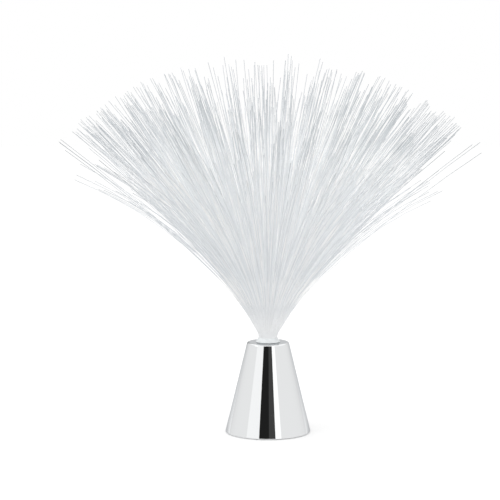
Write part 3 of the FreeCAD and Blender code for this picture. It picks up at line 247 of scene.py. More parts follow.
@dataclass
class EffectShelf:
    """Builds each shared effect once and hands out its node group."""

    coarse_step: float = 16.0
    smudge_cut: Span = (0.52, 0.72)
    upward_cut: Span = (0.55, 0.98)
    speck_cut: Span = (0.4, 0.75)
    built: dict[Effect, bpy.types.NodeTree] = field(default_factory=dict)

    def place(self, sheet: NodeSheet, effect: Effect, **values: float) -> bpy.types.NodeOutputs:
        """Put an effect's group into a material, and build the group when it is first asked for.

        Args:
            sheet: The material's sheet.
            effect: Which effect.
            values: The group's inputs.

        Returns:
            The group's outputs.
        """
        if effect not in self.built:
            makers = {Effect.GRAIN: self._grain, Effect.SMUDGE: self._smudge, Effect.DUST: self._dust}
            self.built[effect] = makers[effect]()
        return sheet.put(sheet.add("Group", node_tree=self.built[effect]), **values).outputs

    def _start(self, effect: Effect, inputs: list[str], outputs: list[str]) -> tuple[NodeSheet, Node, Node]:
        """Start an effect's group, with float inputs and outputs.

        Args:
            effect: Which effect.
            inputs: Its inputs' names.
            outputs: Its outputs' names.

        Returns:
            The group's sheet, its input node and its output node.
        """
        tree = bpy.data.node_groups.new(effect.value, "ShaderNodeTree")
        for side, labels in (("INPUT", inputs), ("OUTPUT", outputs)):
            for label in labels:
                tree.interface.new_socket(name=label, in_out=side, socket_type="NodeSocketFloat")
        sheet = NodeSheet(tree)
        return sheet, sheet.add("NodeGroupInput"), sheet.add("NodeGroupOutput")

    def _grain(self) -> bpy.types.NodeTree:
        """Moulded grain: a fine noise, made uneven by a coarse one.

        Returns:
            The group: the grain's height, and the coarse noise as patches.
        """
        sheet, given, result = self._start(Effect.GRAIN, ["Cells per metre", "Unevenness"],
                                           ["Height", "Patch"])
        cells = given.outputs["Cells per metre"]
        fine = sheet.noise(Scale=cells, Detail=2.0, Roughness=0.6)
        wide = sheet.arithmetic("DIVIDE", cells, self.coarse_step)
        coarse = sheet.noise(Scale=wide, Detail=3.0, Roughness=0.55)
        patch = sheet.arithmetic("MULTIPLY", sheet.arithmetic("SUBTRACT", coarse, 0.5),
                                 given.outputs["Unevenness"])
        sheet.put(result, Height=sheet.arithmetic("ADD", fine, patch), Patch=coarse)
        return sheet.tree

    def _smudge(self) -> bpy.types.NodeTree:
        """Faint finger smudges: broad noise cut to a few soft patches.

        Returns:
            The group: the smudges as a mask.
        """
        sheet, given, result = self._start(Effect.SMUDGE, ["Patches per metre"], ["Mask"])
        broad = sheet.noise(Scale=given.outputs["Patches per metre"], Detail=4.0, Roughness=0.6,
                            Distortion=0.6)
        sheet.put(result, Mask=sheet.band(broad, *self.smudge_cut))
        return sheet.tree

    def _dust(self) -> bpy.types.NodeTree:
        """Dust on faces that look up: the normal's height, broken up by a fine noise.

        Returns:
            The group: the dust as a mask.
        """
        sheet, given, result = self._start(Effect.DUST, ["Specks per metre", "Amount"], ["Mask"])
        specks = sheet.noise(Scale=given.outputs["Specks per metre"], Detail=3.0, Roughness=0.7)
        parts = sheet.put(sheet.add("SeparateXYZ"), sheet.add("NewGeometry").outputs["Normal"])
        upward = sheet.band(parts.outputs["Z"], *self.upward_cut)
        share = sheet.arithmetic("MULTIPLY", upward, sheet.band(specks, *self.speck_cut))
        sheet.put(result, Mask=sheet.arithmetic("MULTIPLY", share, given.outputs["Amount"]))
        return sheet.tree


SHELF = EffectShelf()


# --- Finishes ---
@dataclass(frozen=True)
class Finish:
    """What every finish has: the record's slot it dresses and how its material is begun."""

    slot: str

    def begin(self) -> tuple[Material, NodeSheet, Node]:
        """Start a material with a Principled shader joined to its output.

        Returns:
            The material, its sheet and the shader node.
        """
        material, sheet = blank_material(self.slot)
        shader = sheet.add("BsdfPrincipled")
        sheet.put(sheet.add("OutputMaterial"), shader.outputs["BSDF"])
        return material, sheet, shader

    def material(self) -> Material:
        """The finished material."""
        raise NotImplementedError


@dataclass(frozen=True)
class MirrorPlating(Finish):
    """Bright plating on moulded plastic: a mirror with faint smudges and a very slight orange peel."""

    colour: Colour = (0.775, 0.785, 0.79)
    edge_tint: Colour = (0.56, 0.57, 0.58)
    roughness: float = 0.025
    smudged: float = 0.07
    peel_depth: float = 0.002 * MM

    def material(self) -> Material:
        """Metal whose roughness rises a little where it has been handled.

        Returns:
            The material.
        """
        material, sheet, shader = self.begin()
        smudge = SHELF.place(sheet, Effect.SMUDGE, Patches_per_metre=26.0)
        grain = SHELF.place(sheet, Effect.GRAIN, Cells_per_metre=160.0, Unevenness=0.4)
        sheet.put(shader, Base_Color=self.colour, Specular_Tint=self.edge_tint, Metallic=1.0,
                  Roughness=sheet.band(smudge["Mask"], 0.0, 1.0, self.roughness, self.smudged),
                  Normal=sheet.relief(grain["Height"], self.peel_depth))
        return material


@dataclass(frozen=True)
class MouldedPlastic(Finish):
    """Plain moulded plastic: fine grain, uneven gloss and a little dust on top."""

    colour: Colour = (0.5, 0.5, 0.5)
    roughness: float = 0.45
    grain_depth: float = 0.02 * MM
    dust_colour: Colour = (0.55, 0.54, 0.52)
    gloss_patches: Span = (0.2, 0.8)
    gloss_shift: float = 0.06

    def material(self) -> Material:
        """Plastic whose colour and gloss shift slightly from patch to patch.

        Returns:
            The material.
        """
        material, sheet, shader = self.begin()
        grain = SHELF.place(sheet, Effect.GRAIN, Cells_per_metre=2500.0, Unevenness=0.5)
        dust = SHELF.place(sheet, Effect.DUST, Specks_per_metre=900.0, Amount=0.12)
        varied = sheet.tint(grain["Patch"], shade(self.colour, gain=0.9), self.colour)
        rough = sheet.band(grain["Patch"], *self.gloss_patches, self.roughness - self.gloss_shift,
                           self.roughness + self.gloss_shift)
        sheet.put(shader, Base_Color=sheet.tint(dust["Mask"], varied, self.dust_colour), Roughness=rough,
                  Normal=sheet.relief(grain["Height"], self.grain_depth))
        return material


@dataclass(frozen=True)
class MilkyPlastic(Finish):
    """Natural, undyed plastic of the collar: light passes a little way into it."""

    colour: Colour = (0.78, 0.81, 0.82)
    light_reach: Point = (3.0 * MM, 3.0 * MM, 3.0 * MM)
    grain_depth: float = 0.01 * MM

    def material(self) -> Material:
        """Half translucent plastic with a soft gloss.

        Returns:
            The material.
        """
        material, sheet, shader = self.begin()
        grain = SHELF.place(sheet, Effect.GRAIN, Cells_per_metre=1200.0, Unevenness=0.6)
        varied = sheet.tint(grain["Patch"], self.colour, shade(self.colour, gain=1.07))
        sheet.put(shader, Base_Color=varied, Roughness=0.32, IOR=1.49, Subsurface_Weight=0.5,
                  Subsurface_Radius=self.light_reach,
                  Normal=sheet.relief(grain["Height"], self.grain_depth))
        return material


@dataclass(frozen=True)
class ClearStrand(Finish):
    """Drawn clear plastic strand: palest in the bundle, where light passes from one to the next.

    It is greyer where many lie together in the fan, greyer still at the fan's rim, and greyest
    where it stands alone. These greys are painted light and shade: the pale bundle and crowd stand
    in for light scattered among the strands, and the darker rim is painted shade at the fan's sides.
    Somewhere in the crowd each strand has one short stretch of painted highlight, white as if its
    bend caught the light.
    """

    # Painted light: the pale bundle and crowd greys stand in for light scattered among close strands.
    bundled_painted_light: Colour = (0.98, 0.99, 1.0)
    crowded_painted_light: Colour = (0.882, 0.914, 0.94)
    # Painted shade: the rim's darker grey darkens the fan's sides.
    rim: Colour = (0.755, 0.785, 0.815)
    # Painted highlight: white for one short stretch of each strand, as if its bend caught the light.
    painted_glint: Colour = (1.0, 1.0, 1.0)
    open: Colour = (0.635, 0.67, 0.70)
    lone: Colour = (0.46, 0.49, 0.51)
    seat_height: float = 80.1 * MM
    bundled_reach: Span = (10.0 * MM, 60.0 * MM)
    crowded_reach: Span = (172.0 * MM, 244.0 * MM)
    rim_tones: Span = (0.852, 0.858)
    glint_from: float = 58.0 * MM
    glint_range: float = 152.0 * MM
    glint_turns: float = 80.0
    glint_half: Span = (10.0 * MM, 20.0 * MM)
    transmission: float = 0.05

    def material(self) -> Material:
        """A clear rod whose grey follows its distance from the collar and its strand's own tone.

        Returns:
            The material.
        """
        material, sheet, shader = self.begin()
        distance = sheet.add("VectorMath", operation="DISTANCE")
        away = sheet.put(distance, sheet.place(), (0.0, 0.0, self.seat_height)).outputs["Value"]
        tone = sheet.add("Attribute", attribute_name=STRAND_TONE).outputs["Fac"]
        turn = sheet.arithmetic("FRACT", sheet.arithmetic("MULTIPLY", tone, self.glint_turns))
        spot = sheet.arithmetic("ADD", sheet.arithmetic("MULTIPLY", turn, self.glint_range),
                                self.glint_from)
        off = sheet.arithmetic("ABSOLUTE", sheet.arithmetic("SUBTRACT", away, spot))
        # Painted shade: strands whose tones fall below rim_tones take the rim's darker grey in the crowd.
        crowd = sheet.tint(sheet.band(tone, *self.rim_tones), self.rim, self.crowded_painted_light)
        # Painted highlight: one short white stretch along each strand.
        crowd = sheet.tint(sheet.band(off, *self.glint_half, 1.0, 0.0), crowd, self.painted_glint)
        toned = sheet.tint(tone, self.lone, self.open)
        parted = sheet.tint(sheet.band(away, *self.crowded_reach), crowd, toned)
        # Painted light: paler towards the collar, where the strands lie in the bundle.
        colour = sheet.tint(sheet.band(away, *self.bundled_reach), self.bundled_painted_light, parted)
        sheet.put(shader, Base_Color=colour, Roughness=0.12, IOR=1.49,
                  Transmission_Weight=self.transmission)
        return material


@dataclass(frozen=True)
class PolishedBundle(Finish):
    """The polished end of the bundle: round strand ends close together in clear resin."""

    colour: Colour = (0.80, 0.84, 0.86)
    gap_colour: Colour = (0.35, 0.38, 0.40)
    strand_pitch: float = 0.57 * MM
    end_edge: Span = (0.38, 0.5)

    def material(self) -> Material:
        """Clear resin with a pattern of strand ends.

        Returns:
            The material.
        """
        material, sheet, shader = self.begin()
        cells = sheet.add("TexVoronoi", feature="F1", voronoi_dimensions="2D")
        sheet.put(cells, Vector=sheet.place(), Scale=1.0 / self.strand_pitch, Randomness=0.35)
        gaps = sheet.band(cells.outputs["Distance"], *self.end_edge)
        sheet.put(shader, Base_Color=sheet.tint(gaps, self.colour, self.gap_colour), Roughness=0.1,
                  IOR=1.5, Transmission_Weight=0.3)
        return material


@dataclass(frozen=True)
class Rubber(Finish):
    """Matt rubber with a coarse, dusty surface."""

    colour: Colour = (0.04, 0.04, 0.04)
    scuff_cut: Span = (0.45, 0.8)
    grain_depth: float = 0.04 * MM

    def material(self) -> Material:
        """Rough black or grey with paler scuffed patches.

        Returns:
            The material.
        """
        material, sheet, shader = self.begin()
        grain = SHELF.place(sheet, Effect.GRAIN, Cells_per_metre=3500.0, Unevenness=0.8)
        share = sheet.band(grain["Patch"], *self.scuff_cut)
        scuffed = shade(self.colour, gain=1.8, lift=0.02)
        sheet.put(shader, Base_Color=sheet.tint(share, self.colour, scuffed), Roughness=0.82,
                  Specular_IOR_Level=0.35, Normal=sheet.relief(grain["Height"], self.grain_depth))
        return material


@dataclass(frozen=True)
class Metal(Finish):
    """Plated or tinned steel of the small parts: fine drawn lines and uneven gloss."""

    colour: Colour = (0.62, 0.62, 0.60)
    roughness: float = 0.28
    lines_per_metre: float = 5000.0
    line_stretch: Point = (1.0, 0.08, 1.0)
    line_depth: float = 0.006 * MM
    gloss_lines: Span = (0.3, 0.7)
    gloss_shift: float = 0.08

    def material(self) -> Material:
        """Metal with fine lines and faint stains.

        Returns:
            The material.
        """
        material, sheet, shader = self.begin()
        stretch = sheet.put(sheet.add("Mapping"), Vector=sheet.place(), Scale=self.line_stretch)
        lines = sheet.put(sheet.add("TexNoise"), Vector=stretch.outputs["Vector"],
                          Scale=self.lines_per_metre, Detail=2.0).outputs["Fac"]
        smudge = SHELF.place(sheet, Effect.SMUDGE, Patches_per_metre=300.0)
        rough = sheet.band(lines, *self.gloss_lines, self.roughness - self.gloss_shift,
                           self.roughness + self.gloss_shift)
        sheet.put(shader, Base_Color=sheet.tint(smudge["Mask"], self.colour, shade(self.colour, gain=0.8)),
                  Metallic=1.0, Roughness=rough, Normal=sheet.relief(lines, self.line_depth))
        return material


@dataclass(frozen=True)
class SolderMask(Finish):
    """The circuit board: green mask over faintly raised copper tracks."""

    colour: Colour = (0.02, 0.16, 0.06)
    track_colour: Colour = (0.05, 0.28, 0.11)
    track_edge: Span = (0.2, 0.8)
    track_depth: float = 0.03 * MM

    def material(self) -> Material:
        """Green mask, paler where tracks lie under it.

        Returns:
            The material.
        """
        material, sheet, shader = self.begin()
        tracks = sheet.add("TexBrick", offset=0.35, squash=1.4)
        sheet.put(tracks, Vector=sheet.place(), Scale=380.0, Mortar_Size=0.06, Mortar_Smooth=0.2)
        raised = sheet.band(tracks.outputs["Fac"], *self.track_edge)
        sheet.put(shader, Base_Color=sheet.tint(raised, self.colour, self.track_colour), Roughness=0.3,
                  Normal=sheet.relief(raised, self.track_depth))
        return material


@dataclass(frozen=True)
class TintedLens(Finish):
    """The cast resin of a coloured LED."""

    colour: Colour = (0.8, 0.1, 0.1)
    flow_depth: float = 0.004 * MM

    def material(self) -> Material:
        """Tinted clear resin with a little flow unevenness.

        Returns:
            The material.
        """
        material, sheet, shader = self.begin()
        grain = SHELF.place(sheet, Effect.GRAIN, Cells_per_metre=600.0, Unevenness=0.5)
        varied = sheet.tint(grain["Patch"], shade(self.colour, gain=0.8), self.colour)
        sheet.put(shader, Base_Color=varied, Roughness=0.06, IOR=1.52, Transmission_Weight=0.7,
                  Normal=sheet.relief(grain["Height"], self.flow_depth))
        return material


@dataclass(frozen=True)
class CellWrap(Finish):
    """A battery cell: printed wrap with a pale band at its plus end, and bare steel ends.

    Every second cell is turned end for end, so the pattern runs along Y times the cell's own sign,
    which is plus for the two outer cells and minus for the middle one.
    """

    wrap: Colour = (0.035, 0.10, 0.24)
    band_colour: Colour = (0.55, 0.56, 0.58)
    steel: Colour = (0.66, 0.66, 0.65)
    cell_spacing: float = 10.9 * MM
    plus_end: float = 22.75 * MM
    minus_end: float = -20.25 * MM
    band_start: float = 12.0 * MM
    print_blur: float = 0.1 * MM
    roughness: float = 0.2
    smudged: float = 0.36

    def material(self) -> Material:
        """Glossy wrap over most of the cell and metal where the wrap stops.

        Returns:
            The material.
        """
        material, sheet, shader = self.begin()
        parts = sheet.put(sheet.add("SeparateXYZ"), sheet.place())
        sideways = sheet.arithmetic("ABSOLUTE", parts.outputs["X"])
        outer = sheet.arithmetic("GREATER_THAN", sideways, self.cell_spacing / 2.0)
        sign = sheet.arithmetic("SUBTRACT", sheet.arithmetic("MULTIPLY", outer, 2.0), 1.0)
        along = sheet.arithmetic("MULTIPLY", parts.outputs["Y"], sign)
        blur = self.print_blur
        banded = sheet.band(along, self.band_start - blur, self.band_start + blur)
        bare_plus = sheet.band(along, self.plus_end - blur, self.plus_end + blur)
        bare_minus = sheet.band(along, self.minus_end - blur, self.minus_end + blur, 1.0, 0.0)
        bare = sheet.arithmetic("ADD", bare_plus, bare_minus, clamp=True)
        printed = sheet.tint(banded, self.wrap, self.band_colour)
        smudge = SHELF.place(sheet, Effect.SMUDGE, Patches_per_metre=120.0)
        sheet.put(shader, Base_Color=sheet.tint(bare, printed, self.steel), Metallic=bare,
                  Roughness=sheet.band(smudge["Mask"], 0.0, 1.0, self.roughness, self.smudged))
        return material


# --- Strands ---
STRAND_TONE = "strand_tone"


@dataclass
class StrandSpray:
    """The fan of clear strands: the same spiral, leans, lengths and arcs as the frame's solids.

    A strand stands upright in the collar and leans outwards over two arcs in one upright plane.
    A last arc takes it on to its tip. Neighbouring strands cling together at their tips, so
    the last arc also bends towards the middle of the strand's tuft, and a little at random.
    """

    count: int = 760
    first_number: float = 0.0
    bundle_count: int = 760
    radius: float = 0.225 * MM
    pitch: float = 0.28 * MM
    spiral_start: float = 1.5
    longest: float = 251.7 * MM
    shortfall: float = 30.0 * MM
    straight: float = 3.0 * MM
    mouth_bend: float = 6.0 * MM
    lower_bend: float = 62.0 * MM
    mouth_share: float = 0.52
    lower_share: float = 0.31
    lean: float = 51.0
    lean_power: float = 0.65
    scatter: float = 1.0
    outer_count: int = 24
    outer_lean: float = 57.0
    outer_scatter: float = 4.0
    tuft_count: int = 120
    tuft_lean: float = 51.0
    tuft_gain: float = 1.6
    tuft_wander: float = 0.8
    seed: int = 5
    tone_range: Span = (0.86, 1.0)
    rim_count: int = 60
    # Painted shade: the rim strands' tones fall by this, which darkens the fan's sides.
    rim_shade_fall: float = 0.145
    outer_tone: float = 0.1
    spread_step: int = 20
    tiers: tuple[str, ...] = ("core", "inner", "low", "middle", "broad", "wide", "rim")
    golden_angle: float = math.pi * (3.0 - math.sqrt(5.0))
    length_sequence: float = 0.7548776662
    lean_sequence: float = 0.5698402910
    bend_stations: int = 4
    tip_stations: int = 6
    sides: int = 6
    finish: ClearStrand = ClearStrand("clear_fibre")

    def numbers(self) -> np.ndarray:
        """Each strand's place along the spiral."""
        return np.arange(self.count) + self.first_number

    def bend_ends(self) -> Span:
        """How far along a strand its bend at the mouth and its lower bend end."""
        mouth_end = self.straight + self.mouth_bend
        return mouth_end, mouth_end + self.lower_bend

    def full_lengths(self) -> np.ndarray:
        """How long each strand is from the collar to its tip."""
        step = self.numbers() * self.length_sequence % 1.0
        return self.longest - self.shortfall * step ** 3

    def kept_shares(self) -> np.ndarray:
        """How much of the last arc each strand keeps."""
        return np.ones(self.count)

    def sets(self) -> dict[str, np.ndarray]:
        """The numbers of the strands in each of the frame's sets.

        Returns:
            For each CAD node's name, its strands in the order of the spiral.
        """
        number = np.arange(self.count)
        field_count = self.count - self.outer_count
        outer = number >= field_count
        spread = ~outer & (number % self.spread_step == 0)
        tier = number * len(self.tiers) // field_count
        made = {"fibres_outer": number[outer], "fibres_spread": number[spread]}
        for place, name in enumerate(self.tiers):
            made["fibres_" + name] = number[~outer & ~spread & (tier == place)]
        return made

    def directions(self) -> tuple[np.ndarray, np.ndarray, np.ndarray]:
        """Each strand's lean and heading on a flat chart, and how its last arc bends.

        The chart's point is (lean cos heading, lean sin heading) in degrees, with a little scatter.
        The middles of the tufts are a spiral of their own on that chart. The outer strands stand
        off from the field: they take no scatter and belong to no tuft.

        Returns:
            Chart points, the last arc's extra bend on the chart and the root places, two columns each.
        """
        dice = Random(self.seed)
        throws = np.array([[2.0 * dice.random() - 1.0 for _ in range(4)] for _ in range(self.count)])
        number = self.numbers()
        root = self.pitch * np.sqrt(number + self.spiral_start)
        heading = number * self.golden_angle
        around = np.stack([np.cos(heading), np.sin(heading)], axis=1)
        step = number * self.lean_sequence % 1.0
        bundle = self.pitch * math.sqrt(self.bundle_count - 1 + self.spiral_start)
        lean = self.lean * (root / bundle) ** self.lean_power
        field_share = (np.arange(self.count) < self.count - self.outer_count).astype(float)[:, None]
        lean = np.where(field_share[:, 0] > 0.0, lean, self.outer_lean - self.outer_scatter * step)
        chart = lean[:, None] * around + self.scatter * field_share * throws[:, :2]
        tuft = np.arange(self.tuft_count)
        tuft_lean = self.tuft_lean * np.sqrt((tuft + 0.5) / self.tuft_count)
        tuft_turn = tuft * self.golden_angle
        middles = np.stack([tuft_lean * np.cos(tuft_turn), tuft_lean * np.sin(tuft_turn)], axis=1)
        apart = np.linalg.norm(chart[:, None, :] - middles[None, :, :], axis=2)
        nearest = middles[np.argmin(apart, axis=1)]
        extra = self.tuft_gain * field_share * (nearest - chart) + self.tuft_wander * throws[:, 2:]
        return chart, extra, root[:, None] * around

    def stations(self) -> np.ndarray:
        """How far along each strand its rings stand: closer together where it bends most.

        Returns:
            An array with one row of distances for each strand.
        """
        mouth_end, bend_end = self.bend_ends()
        fixed = np.concatenate([[0.0], np.linspace(self.straight, mouth_end, self.bend_stations),
                                np.linspace(mouth_end, bend_end, self.bend_stations)[1:]])
        share = np.linspace(0.0, 1.0, self.tip_stations)[1:]
        last_arc = (self.full_lengths() - bend_end) * self.kept_shares()
        rest = bend_end + last_arc[:, None] * share[None, :]
        return np.concatenate([np.broadcast_to(fixed, (self.count, fixed.size)), rest], axis=1)

    def centre_lines(self) -> np.ndarray:
        """The middle line of each strand.

        Up to the last arc, the heading away from upright is the lean times a share that runs in
        straight lines from 0 at the collar's mouth over the bends' shares. Over a step of constant
        bending, a line moves by step * sinc(half turn) towards the middle heading. The last arc is
        start + radius * (sin a * tangent + (1 - cos a) * inwards), with inwards towards its middle.

        Returns:
            An array (strand, ring, xyz).
        """
        chart, extra, root = self.directions()
        along = self.stations()
        mouth_end, bend_end = self.bend_ends()
        fixed = np.minimum(along, bend_end)
        bent = np.clip((fixed - self.straight) / self.mouth_bend, 0.0, 1.0) * self.mouth_share
        bent = bent + np.clip((fixed - mouth_end) / self.lower_bend, 0.0, 1.0) * self.lower_share
        lean = np.linalg.norm(chart, axis=1)
        direction = chart / lean[:, None]
        heading = np.radians(lean)[:, None] * bent
        middle = (heading[:, 1:] + heading[:, :-1]) / 2.0
        half_turn = (heading[:, 1:] - heading[:, :-1]) / 2.0
        chord = np.diff(fixed, axis=1) * np.sinc(half_turn / math.pi)
        zero = np.zeros((self.count, 1))
        out = np.concatenate([zero, np.cumsum(chord * np.sin(middle), axis=1)], axis=1)
        up = np.concatenate([zero, np.cumsum(chord * np.cos(middle), axis=1)], axis=1)
        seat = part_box("fibres_core")[0].z
        line = np.stack([root[:, :1] + out * direction[:, :1],
                         root[:, 1:] + out * direction[:, 1:], seat + up], axis=2)
        start_heading = np.radians(lean * (self.mouth_share + self.lower_share))
        flat = np.concatenate([direction, zero], axis=1)
        side = np.stack([-direction[:, 1], direction[:, 0], zero[:, 0]], axis=1)
        level = np.array([0.0, 0.0, 1.0])
        sine, cosine = np.sin(start_heading)[:, None], np.cos(start_heading)[:, None]
        tangent = sine * flat + cosine * level
        outwards = cosine * flat - sine * level
        last_share = 1.0 - self.mouth_share - self.lower_share
        bend_out = lean * last_share + np.sum(extra * direction, axis=1)
        bend_side = np.sum(extra * side[:, :2], axis=1)
        bend = np.radians(np.hypot(bend_out, bend_side))
        inwards = (bend_out[:, None] * outwards + bend_side[:, None] * side) / np.degrees(bend)[:, None]
        past = np.maximum(along - bend_end, 0.0)
        length = self.full_lengths() - bend_end
        angle = past * (bend / length)[:, None]
        arc = length / bend
        line = line + (arc[:, None] * np.sin(angle))[:, :, None] * tangent[:, None, :]
        return line + (arc[:, None] * (1.0 - np.cos(angle)))[:, :, None] * inwards[:, None, :]

    def tube(self, lines: np.ndarray) -> tuple[np.ndarray, np.ndarray, np.ndarray]:
        """Tubes with flat ends around middle lines.

        A ring's points are middle + radius * (cos a * side + sin a * third), where side is level
        and at right angles to the line, and third is at right angles to both.

        Args:
            lines: Middle lines as an array (strand, ring, xyz).

        Returns:
            Points, the quads of the walls, and the ring of each end as polygons.
        """
        strands, rings, _ = lines.shape
        tangent = np.gradient(lines, axis=1)
        tangent /= np.linalg.norm(tangent, axis=2, keepdims=True)
        away = lines[:, -1, :] - lines[:, 0, :]
        side = np.stack([-away[:, 1], away[:, 0], np.zeros(strands)], axis=1)
        side = side / np.linalg.norm(side, axis=1, keepdims=True)
        side = np.broadcast_to(side[:, None, :], lines.shape)
        side = side - tangent * np.sum(side * tangent, axis=2, keepdims=True)
        side = side / np.linalg.norm(side, axis=2, keepdims=True)
        third = np.cross(tangent, side)
        angle = np.arange(self.sides) * 2.0 * math.pi / self.sides
        ring = (np.cos(angle)[None, None, :, None] * side[:, :, None, :]
                + np.sin(angle)[None, None, :, None] * third[:, :, None, :])
        points = lines[:, :, None, :] + self.radius * ring
        index = np.arange(strands * rings * self.sides).reshape(strands, rings, self.sides)
        after = np.roll(index, -1, axis=2)
        quads = np.stack([index[:, :-1], after[:, :-1], after[:, 1:], index[:, 1:]], axis=3).reshape(-1, 4)
        ends = np.concatenate([index[:, 0, ::-1], index[:, -1, :]])
        return points.reshape(-1, 3), quads, ends

    def piece(self, name: str, lines: np.ndarray, tones: np.ndarray) -> Object:
        """One set of strands as a mesh object.

        Args:
            name: The piece's name.
            lines: The set's middle lines.
            tones: One grey for each strand, from 0 to 1.

        Returns:
            The object, at the origin.
        """
        points, quads, ends = self.tube(lines)
        made = mesh_object(name, points, [*quads, *ends])
        mesh = made.data
        smooth = np.zeros(len(mesh.polygons), bool)
        smooth[:len(quads)] = True
        mesh.polygons.foreach_set("use_smooth", smooth)
        attribute = mesh.attributes.new(STRAND_TONE, "FLOAT", "POINT")
        point_tones = np.repeat(tones, lines.shape[1] * self.sides).astype(np.float32)
        attribute.data.foreach_set("value", point_tones)
        mesh.update()
        return made

    def tones(self) -> np.ndarray:
        """Each strand's own tone: lower at the fan's rim, and lowest for the outer strands.

        Returns:
            One tone for each strand, from 0 to 1; the rim's lower tones carry painted shade.
        """
        tones = np.random.default_rng(self.seed + 1).uniform(*self.tone_range, self.count)
        field_count = self.count - self.outer_count
        # Painted shade: lower tones for the strands at the fan's rim.
        tones[field_count - self.rim_count:] -= self.rim_shade_fall
        tones[field_count:] = self.outer_tone
        return tones

    def dress(self, made: Object, material: Material) -> None:
        """Give a piece its finish and its slot, and let it ride with the spray.

        Args:
            made: The piece.
            material: The finish's material.
        """
        made.data.materials.append(material)
        made.visible_shadow = False
        made.visible_diffuse = False
        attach(made, Body.SPRAY.value)
        log.info("%s: %d faces", made.name, len(made.data.polygons))

    def build(self) -> None:
        """Make every set, and hide the solids that it stands for."""
        lines = self.centre_lines()
        tones = self.tones()
        material = self.finish.material()
        for node, numbers in self.sets().items():
            made = self.piece(node.replace("fibres", "strands"), lines[numbers], tones[numbers])
            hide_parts(node)
            self.dress(made, material)


@dataclass
class StrandsBetween(StrandSpray):
    """Further strands, past the number that the frame's solids hold.

    They stand half a step further along the same spiral, and are cut shorter, so that they fill
    the fan without changing its outline.
    """

    count: int = 720
    outer_count: int = 0
    first_number: float = 0.5
    seed: int = 11
    stem: str = "strands_between"
    share_sequence: float = 0.6180339887
    shortest_share: float = 0.5
    share_range: float = 0.47
    rim_loss: float = 0.5
    pieces: int = 2

    def kept_shares(self) -> np.ndarray:
        """How much of the last arc each strand keeps: spread over a range that may narrow outwards.

        Returns:
            One share for each strand.
        """
        number = np.arange(self.count)
        share_range = self.share_range * (1.0 - self.rim_loss * number / self.count)
        return self.shortest_share + share_range * (number * self.share_sequence % 1.0)

    def build(self) -> None:
        """Make the pieces, which stand for no solids of the frame."""
        lines = self.centre_lines()
        tones = self.tones()
        material = self.finish.material()
        for place, numbers in enumerate(np.array_split(np.arange(self.count), self.pieces)):
            made = self.piece("%s_%d" % (self.stem, place + 1), lines[numbers], tones[numbers])
            self.dress(made, material)


@dataclass
class DroopingStrands(StrandsBetween):
    """Strands from the bundle's edge that leave it like the rim's and then droop further outwards."""

    count: int = 140
    outer_count: int = 140
    outer_lean: float = 74.0
    outer_scatter: float = 18.0
    mouth_share: float = 0.40
    lower_share: float = 0.20
    outer_tone: float = 0.3
    seed: int = 17
    stem: str = "strands_drooping"
    first_number: float = 655.75
    shortest_share: float = 0.6
    share_range: float = 0.26
    rim_loss: float = 0.0
    pieces: int = 1


# --- The frame's own nodes ---
@dataclass
class DressedNodes:
    """A sub-assembly whose pieces are the frame's own nodes, each with its finish."""

    title: str
    finishes: dict[str, Finish]

    def build(self, nodes: dict[str, Object]) -> None:
        """Give each node its finish.

        Args:
            nodes: The frame's nodes by name.
        """
        ready: dict[Finish, Material] = {}
        for name, finish in self.finishes.items():
            if finish not in ready:
                ready[finish] = finish.material()
            node = nodes[name]
            node.data.materials.clear()
            node.data.materials.append(ready[finish])
            log.info("%s: %s in %s", self.title, name, finish.slot)


# --- Studio ---
@dataclass(frozen=True)
class Card:
    """A curved card round the lamp, seen only in reflections.

    It spans the given azimuths, in degrees from the front, counted towards +X. It is upright
    unless its top edge is given a distance of its own.
    """

    name: str
    start: float
    end: float
    brightness: float
    distance: float = 1.3
    top_distance: float = 1.3
    foot: float = 0.0
    top: float = 1.15
    steps: int = 12

    def build(self) -> None:
        """Points at distance * (sin a, -cos a) on two levels, joined by quads."""
        angle = np.radians(np.linspace(self.start, self.end, self.steps + 1))
        around = np.stack([np.sin(angle), -np.cos(angle), np.zeros_like(angle)], axis=1)
        points = np.concatenate([self.distance * around + (0.0, 0.0, self.foot),
                                 self.top_distance * around + (0.0, 0.0, self.top)])
        low = np.arange(self.steps)
        high = low + self.steps + 1
        card = mesh_object(self.name, points, np.stack([low, low + 1, high + 1, high], axis=1))
        material, sheet = blank_material(self.name)
        glow = sheet.put(sheet.add("Emission"), Strength=self.brightness)
        sheet.put(sheet.add("OutputMaterial"), glow.outputs["Emission"])
        card.data.materials.append(material)
        card.visible_camera = False
        card.visible_diffuse = False
        card.visible_transmission = False
        card.visible_shadow = False


@dataclass(frozen=True)
class Softbox:
    """A square area light that looks at the lamp; its radiance is its brightness, where 1 is white."""

    name: str
    place: Point
    size: float
    radiance: float
    aim: Point = (0.0, 0.0, 0.15)

    def build(self) -> None:
        """Its energy is radiance * pi * the square's area."""
        data = bpy.data.lights.new(self.name, "AREA")
        data.shape = "SQUARE"
        data.size = self.size
        data.energy = self.radiance * math.pi * self.size ** 2
        light = bpy.data.objects.new(self.name, data)
        bpy.context.collection.objects.link(light)
        light.location = self.place
        light.rotation_euler = (Vector(self.aim) - Vector(self.place)).to_track_quat("-Z", "Y").to_euler()


